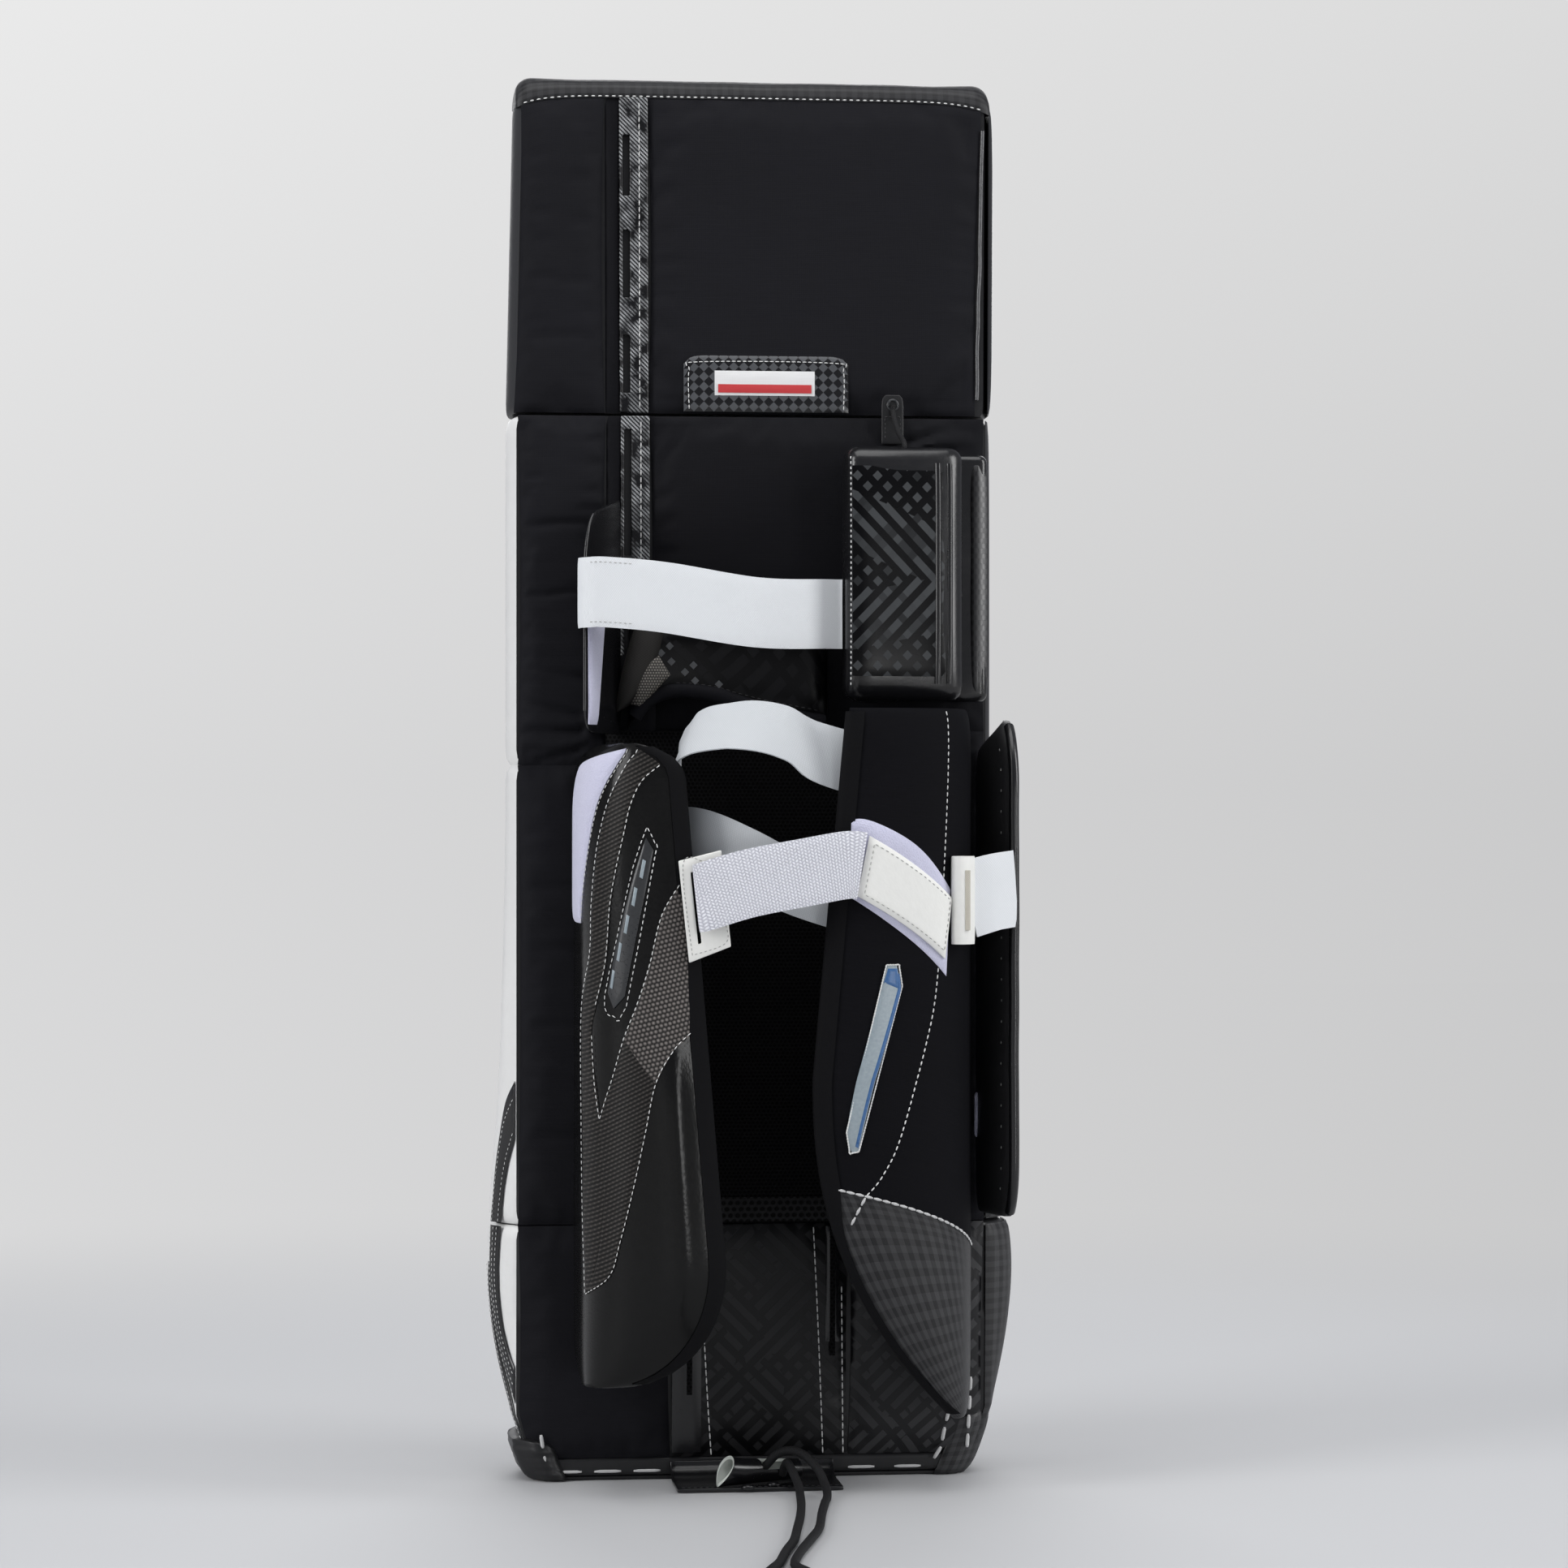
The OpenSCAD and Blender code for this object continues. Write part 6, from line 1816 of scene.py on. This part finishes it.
def make_knee_block():
    body = "knee_block"
    x1, z1 = BLOCK_LEFT + BLOCK_W + 4, BLOCK_Z + BLOCK_H + 4
    facing = math.radians(30)
    flat = Vector((math.cos(facing), math.sin(facing), 0))
    out = Vector((math.sin(facing), -math.cos(facing), 0))

    def rear(x, z, off):
        u, v = (x - BLOCK_LEFT) / BLOCK_W, (z - BLOCK_Z) / BLOCK_H
        return Vector((x, Y_BLOCK + CROWN + BLOCK_SLOPE * u - CROWN * pillow(u, 4) * pillow(v, 4) - off, z))

    def roll(k, i):
        a = 2 * math.pi * k / 24
        c, w = math.cos(a), math.sin(a)
        swell = mix(0.55, 1, pillow(i / 40, 8))
        across = flat * math.copysign(abs(c) ** 0.6, c) * 6.6 + out * math.copysign(abs(w) ** 0.6, w) * 7
        return Vector((BASE_RIGHT - 6.4, Y_BASE + 6, mix(BLOCK_Z + 3, z1 - 6, i / 40))) + across * swell

    make_cushion_box("knee_block_cushion", BLOCK_LEFT, x1, Y_BLOCK + CROWN, Y_BASE - 0.3, BLOCK_Z, z1, 9,
                     CROWN, BLOCK_SLOPE, "knee_block_pad")
    make_cushion_box("knee_block_backing", BLOCK_LEFT + 10, BASE_RIGHT, Y_BASE, Y_SEAT, BLOCK_Z, z1 - 3, 5,
                     0, 0, "knee_block_base")
    # Pressed panel, whose squares carry painted highlights
    pressed = flat_patch(rear, BLOCK_LEFT + 3, x1 - 10, BLOCK_Z + 14, z1 - 12, 0.8, 0.4, 18, 40, 0.2, 12)
    piece("knee_block_pressed_panel", pressed, body, "square_leather")
    for name, x in (("knee_block_inner_piping", x1 - 16), ("knee_block_edge_piping", x1 - 9)):
        path = [rear(x, z, 0.4) for z in evenly(BLOCK_Z + 10, z1 - 10, 40)]
        round_piece(name, tube(path, 4, 10), body, "gloss_leather")
    round_piece("knee_block_side_roll", loft(24, 41, roll), body, "roll_leather")
    row = [(rear(BLOCK_LEFT + 2.2, z, 0.6), (-0.5, -0.8, 0)) for z in evenly(BLOCK_Z + 8, z1 - 6, 30)]
    stitches("knee_block_stitching", [row], body, pitch=3.0, length=1.8, width=0.8)


def knee_strap_line():
    z = STRAP_Z
    px, py = BLOCK_LEFT - 1.1, Y_BLOCK + 16
    tip = knee_wing_at(KNEE_WING_D, 0, 0)
    tail = knee_wing_at(KNEE_WING_D - 4, 0, KNEE_WING_T / 2 + PILE_T + 0.2)
    points = [(px, py, z - 5), (px - 8, py - 1.5, z - 5), (mix(px, tip.x, 0.35), tip.y - 9, z - 5),
              (mix(px, tip.x, 0.7), tip.y - 14, z + 3), (tip.x + 12, tip.y - 12, z + 6),
              (tip.x + 1.5, tip.y - 7, z + 6), (tail.x - 0.4, tail.y - 4, z + 6),
              (tail.x, tail.y + 4, z + 6)]
    return spaced(route(points, 10), 90)


def make_knee_strap():
    body, up = "knee_fastening", Vector((0, 0, 1))
    line = knee_strap_line()
    piece("knee_strap_elastic", strap(line, ELASTIC_W, ELASTIC_T, columns=12), body, "white_elastic",
          ["knee_strap"])
    inner = [p + n * (ELASTIC_T / 2 + 0.1 + PILE_T / 2) for p, n, _ in frames_along(line[-14:], up)]
    piece("knee_strap_hooks", strap(inner, ELASTIC_W - 4, PILE_T, columns=10), body, "hook_tape",
          ["knee_hook_tape"])
    seams = [[(p - n * ELASTIC_T / 2 + up * dz, -n) for p, n, _ in frames_along(line[-24:-10], up)]
             for dz in (-17, 17)]
    stitches("knee_strap_stitching", seams, body, "grey_thread", 2.6, 1.8, 0.5)


def make_knee_wing():
    body = "outer_knee_guard"
    low, top = KNEE_WING_Z + 5, KNEE_WING_Z + KNEE_WING_H * 0.68

    def top_cut(w):
        return 0.4 * round_off((w - 0.7) / 0.3)

    def place(u, v, side):
        w = slow_ends(v)
        cut = top_cut(w) + 0.25 * round_off((0.12 - w) / 0.12)
        edge = (0.42 + 0.58 * min(pillow((u + 1) / 2, 8), pillow(w, 16))) * mix(1, 0.5, u)
        z = KNEE_WING_Z + (KNEE_WING_H + 8 * (1 - u)) * w
        return knee_wing_at(KNEE_WING_D * (1 - cut) * u, z, side * KNEE_WING_T / 2 * edge)

    def inside(a, z, off):
        return knee_wing_at(a, z, -KNEE_WING_T / 2 * mix(1, 0.6, clamp(a / KNEE_WING_D)) - off)

    piece("outer_knee_wing_pad", slab(16, 40, place), body, "gloss_leather", ["outer_knee_wing"], fill=0.6)
    pile = patch(inside, [(38, low), (30, mix(low, top, 0.5)), (22, top)],
                 [(KNEE_WING_D - 2, low), (KNEE_WING_D - 1, top)], 1.9, 0.0, 12, 30, 0.3)
    piece("knee_wing_pile_patch", pile, body, "pile", ["knee_wing_pile"])
    edge = [knee_wing_at(KNEE_WING_D * (1 - top_cut(w)) - 0.5, KNEE_WING_Z + KNEE_WING_H * w, 0.0)
            for w in evenly(0.1, 0.98, 40)]
    round_piece("knee_wing_piping", tube(edge, 2.0, 8), body, "gloss_leather")


make_knee_block()
make_knee_strap()
make_knee_wing()


# Stage: pale floor that fades into the backdrop, and soft lights

BACKDROP, SKY = (0.66, 0.66, 0.665), (0.80, 0.80, 0.80, 1)
FLOOR_DARK, FLOOR_PALE, FLOOR_SIZE = (0.47, 0.475, 0.485, 1), (0.50, 0.505, 0.515, 1), 6000
EYE_X, EYE_Y = -0.264, -2.519


def painted_light_falloff(nodes, way):
    """Painted light falloff of the backdrop, brighter at its left side than at its right side."""
    inputs = {"Value": way, "From Min": -0.1, "From Max": 0.3, "To Min": 1.06, "To Max": 0.9}
    return nodes.add("ShaderNodeMapRange", inputs).outputs[0]


def make_floor():
    bm = new_mesh()
    bmesh.ops.create_grid(bm, x_segments=8, y_segments=8, size=FLOOR_SIZE)
    mat = bpy.data.materials.new("pale_floor")
    mat.use_nodes = True
    nodes = Nodes(mat.node_tree)
    bsdf = mat.node_tree.nodes["Principled BSDF"]
    bsdf.inputs["Roughness"].default_value = 0.7
    place = nodes.here()
    tone = nodes.colour(nodes.noise(place, 1.4, 2.0), FLOOR_DARK, FLOOR_PALE)
    nodes.feed(bsdf.inputs["Base Color"], tone)
    rays = nodes.add("ShaderNodeLightPath").outputs
    mirrored = nodes.larger(rays["Is Glossy Ray"], rays["Is Transmission Ray"])
    seen = nodes.larger(rays["Is Camera Ray"], mirrored)
    # Away from the pad the floor is painted as glowing backdrop light, with the same painted falloff
    far = nodes.add("ShaderNodeVectorMath", {0: place}, operation="LENGTH").outputs[1]
    away = nodes.window(far, 0.55, 1.6, interpolation_type="SMOOTHSTEP")
    x, y, _ = nodes.split(place)
    ahead = nodes.larger(nodes.minus(y, EYE_Y), 0.5)
    fall = painted_light_falloff(nodes, nodes.math("DIVIDE", nodes.minus(x, EYE_X), ahead))
    painted_backdrop_glow = nodes.add("ShaderNodeEmission", {"Color": nodes.vector("MULTIPLY", BACKDROP, fall)})
    nodes.join(nodes.times(seen, away), bsdf, painted_backdrop_glow, mat.node_tree.nodes["Material Output"])
    FINISH["pale_floor"] = mat
    piece("studio_floor", bm, None, "pale_floor")


def make_world():
    world = bpy.data.worlds.new("studio")
    world.use_nodes = True
    scene.world = world
    nodes = Nodes(world.node_tree)
    light = world.node_tree.nodes["Background"]
    light.inputs["Color"].default_value = (0.9, 0.92, 1.0, 1)
    light.inputs["Strength"].default_value = 0.3
    x, _, z = nodes.split(nodes.here("Generated"))
    # Backdrop painted brighter towards the top and towards the left, as painted light falloff
    pale = nodes.colour(nodes.window(z, 0.0, 0.2), (*BACKDROP, 1), SKY)
    sky = nodes.add("ShaderNodeBackground", {"Color": nodes.vector("MULTIPLY", pale, painted_light_falloff(nodes, x))})
    rays = nodes.add("ShaderNodeLightPath").outputs
    seen = nodes.larger(rays["Is Camera Ray"], rays["Is Transmission Ray"])
    nodes.join(seen, light, sky, world.node_tree.nodes["World Output"])


def make_light(name, place, aim, size, watts):
    data = bpy.data.lights.new(name, "AREA")
    data.shape = "RECTANGLE"
    data.size, data.size_y = size
    data.energy = watts
    aimed(name, data, place, Vector(aim) - Vector(place))


make_floor()
make_world()
make_light("soft_left", (-2.3, -1.2, 1.3), (0, 0, 0.4), (0.9, 2.0), 44)
make_light("soft_right", (2.3, -1.0, 1.3), (0, 0, 0.4), (0.9, 2.0), 40)
make_light("low_right", (1.15, -2.1, 0.22), (-0.05, -0.05, 0.2), (0.3, 0.4), 4)
make_light("soft_top", (0.0, -0.7, 2.7), (0, 0, 0.3), (2.2, 1.8), 35)
make_light("soft_behind", (0.2, 2.3, 1.6), (0, 0, 0.4), (2.0, 1.6), 24)
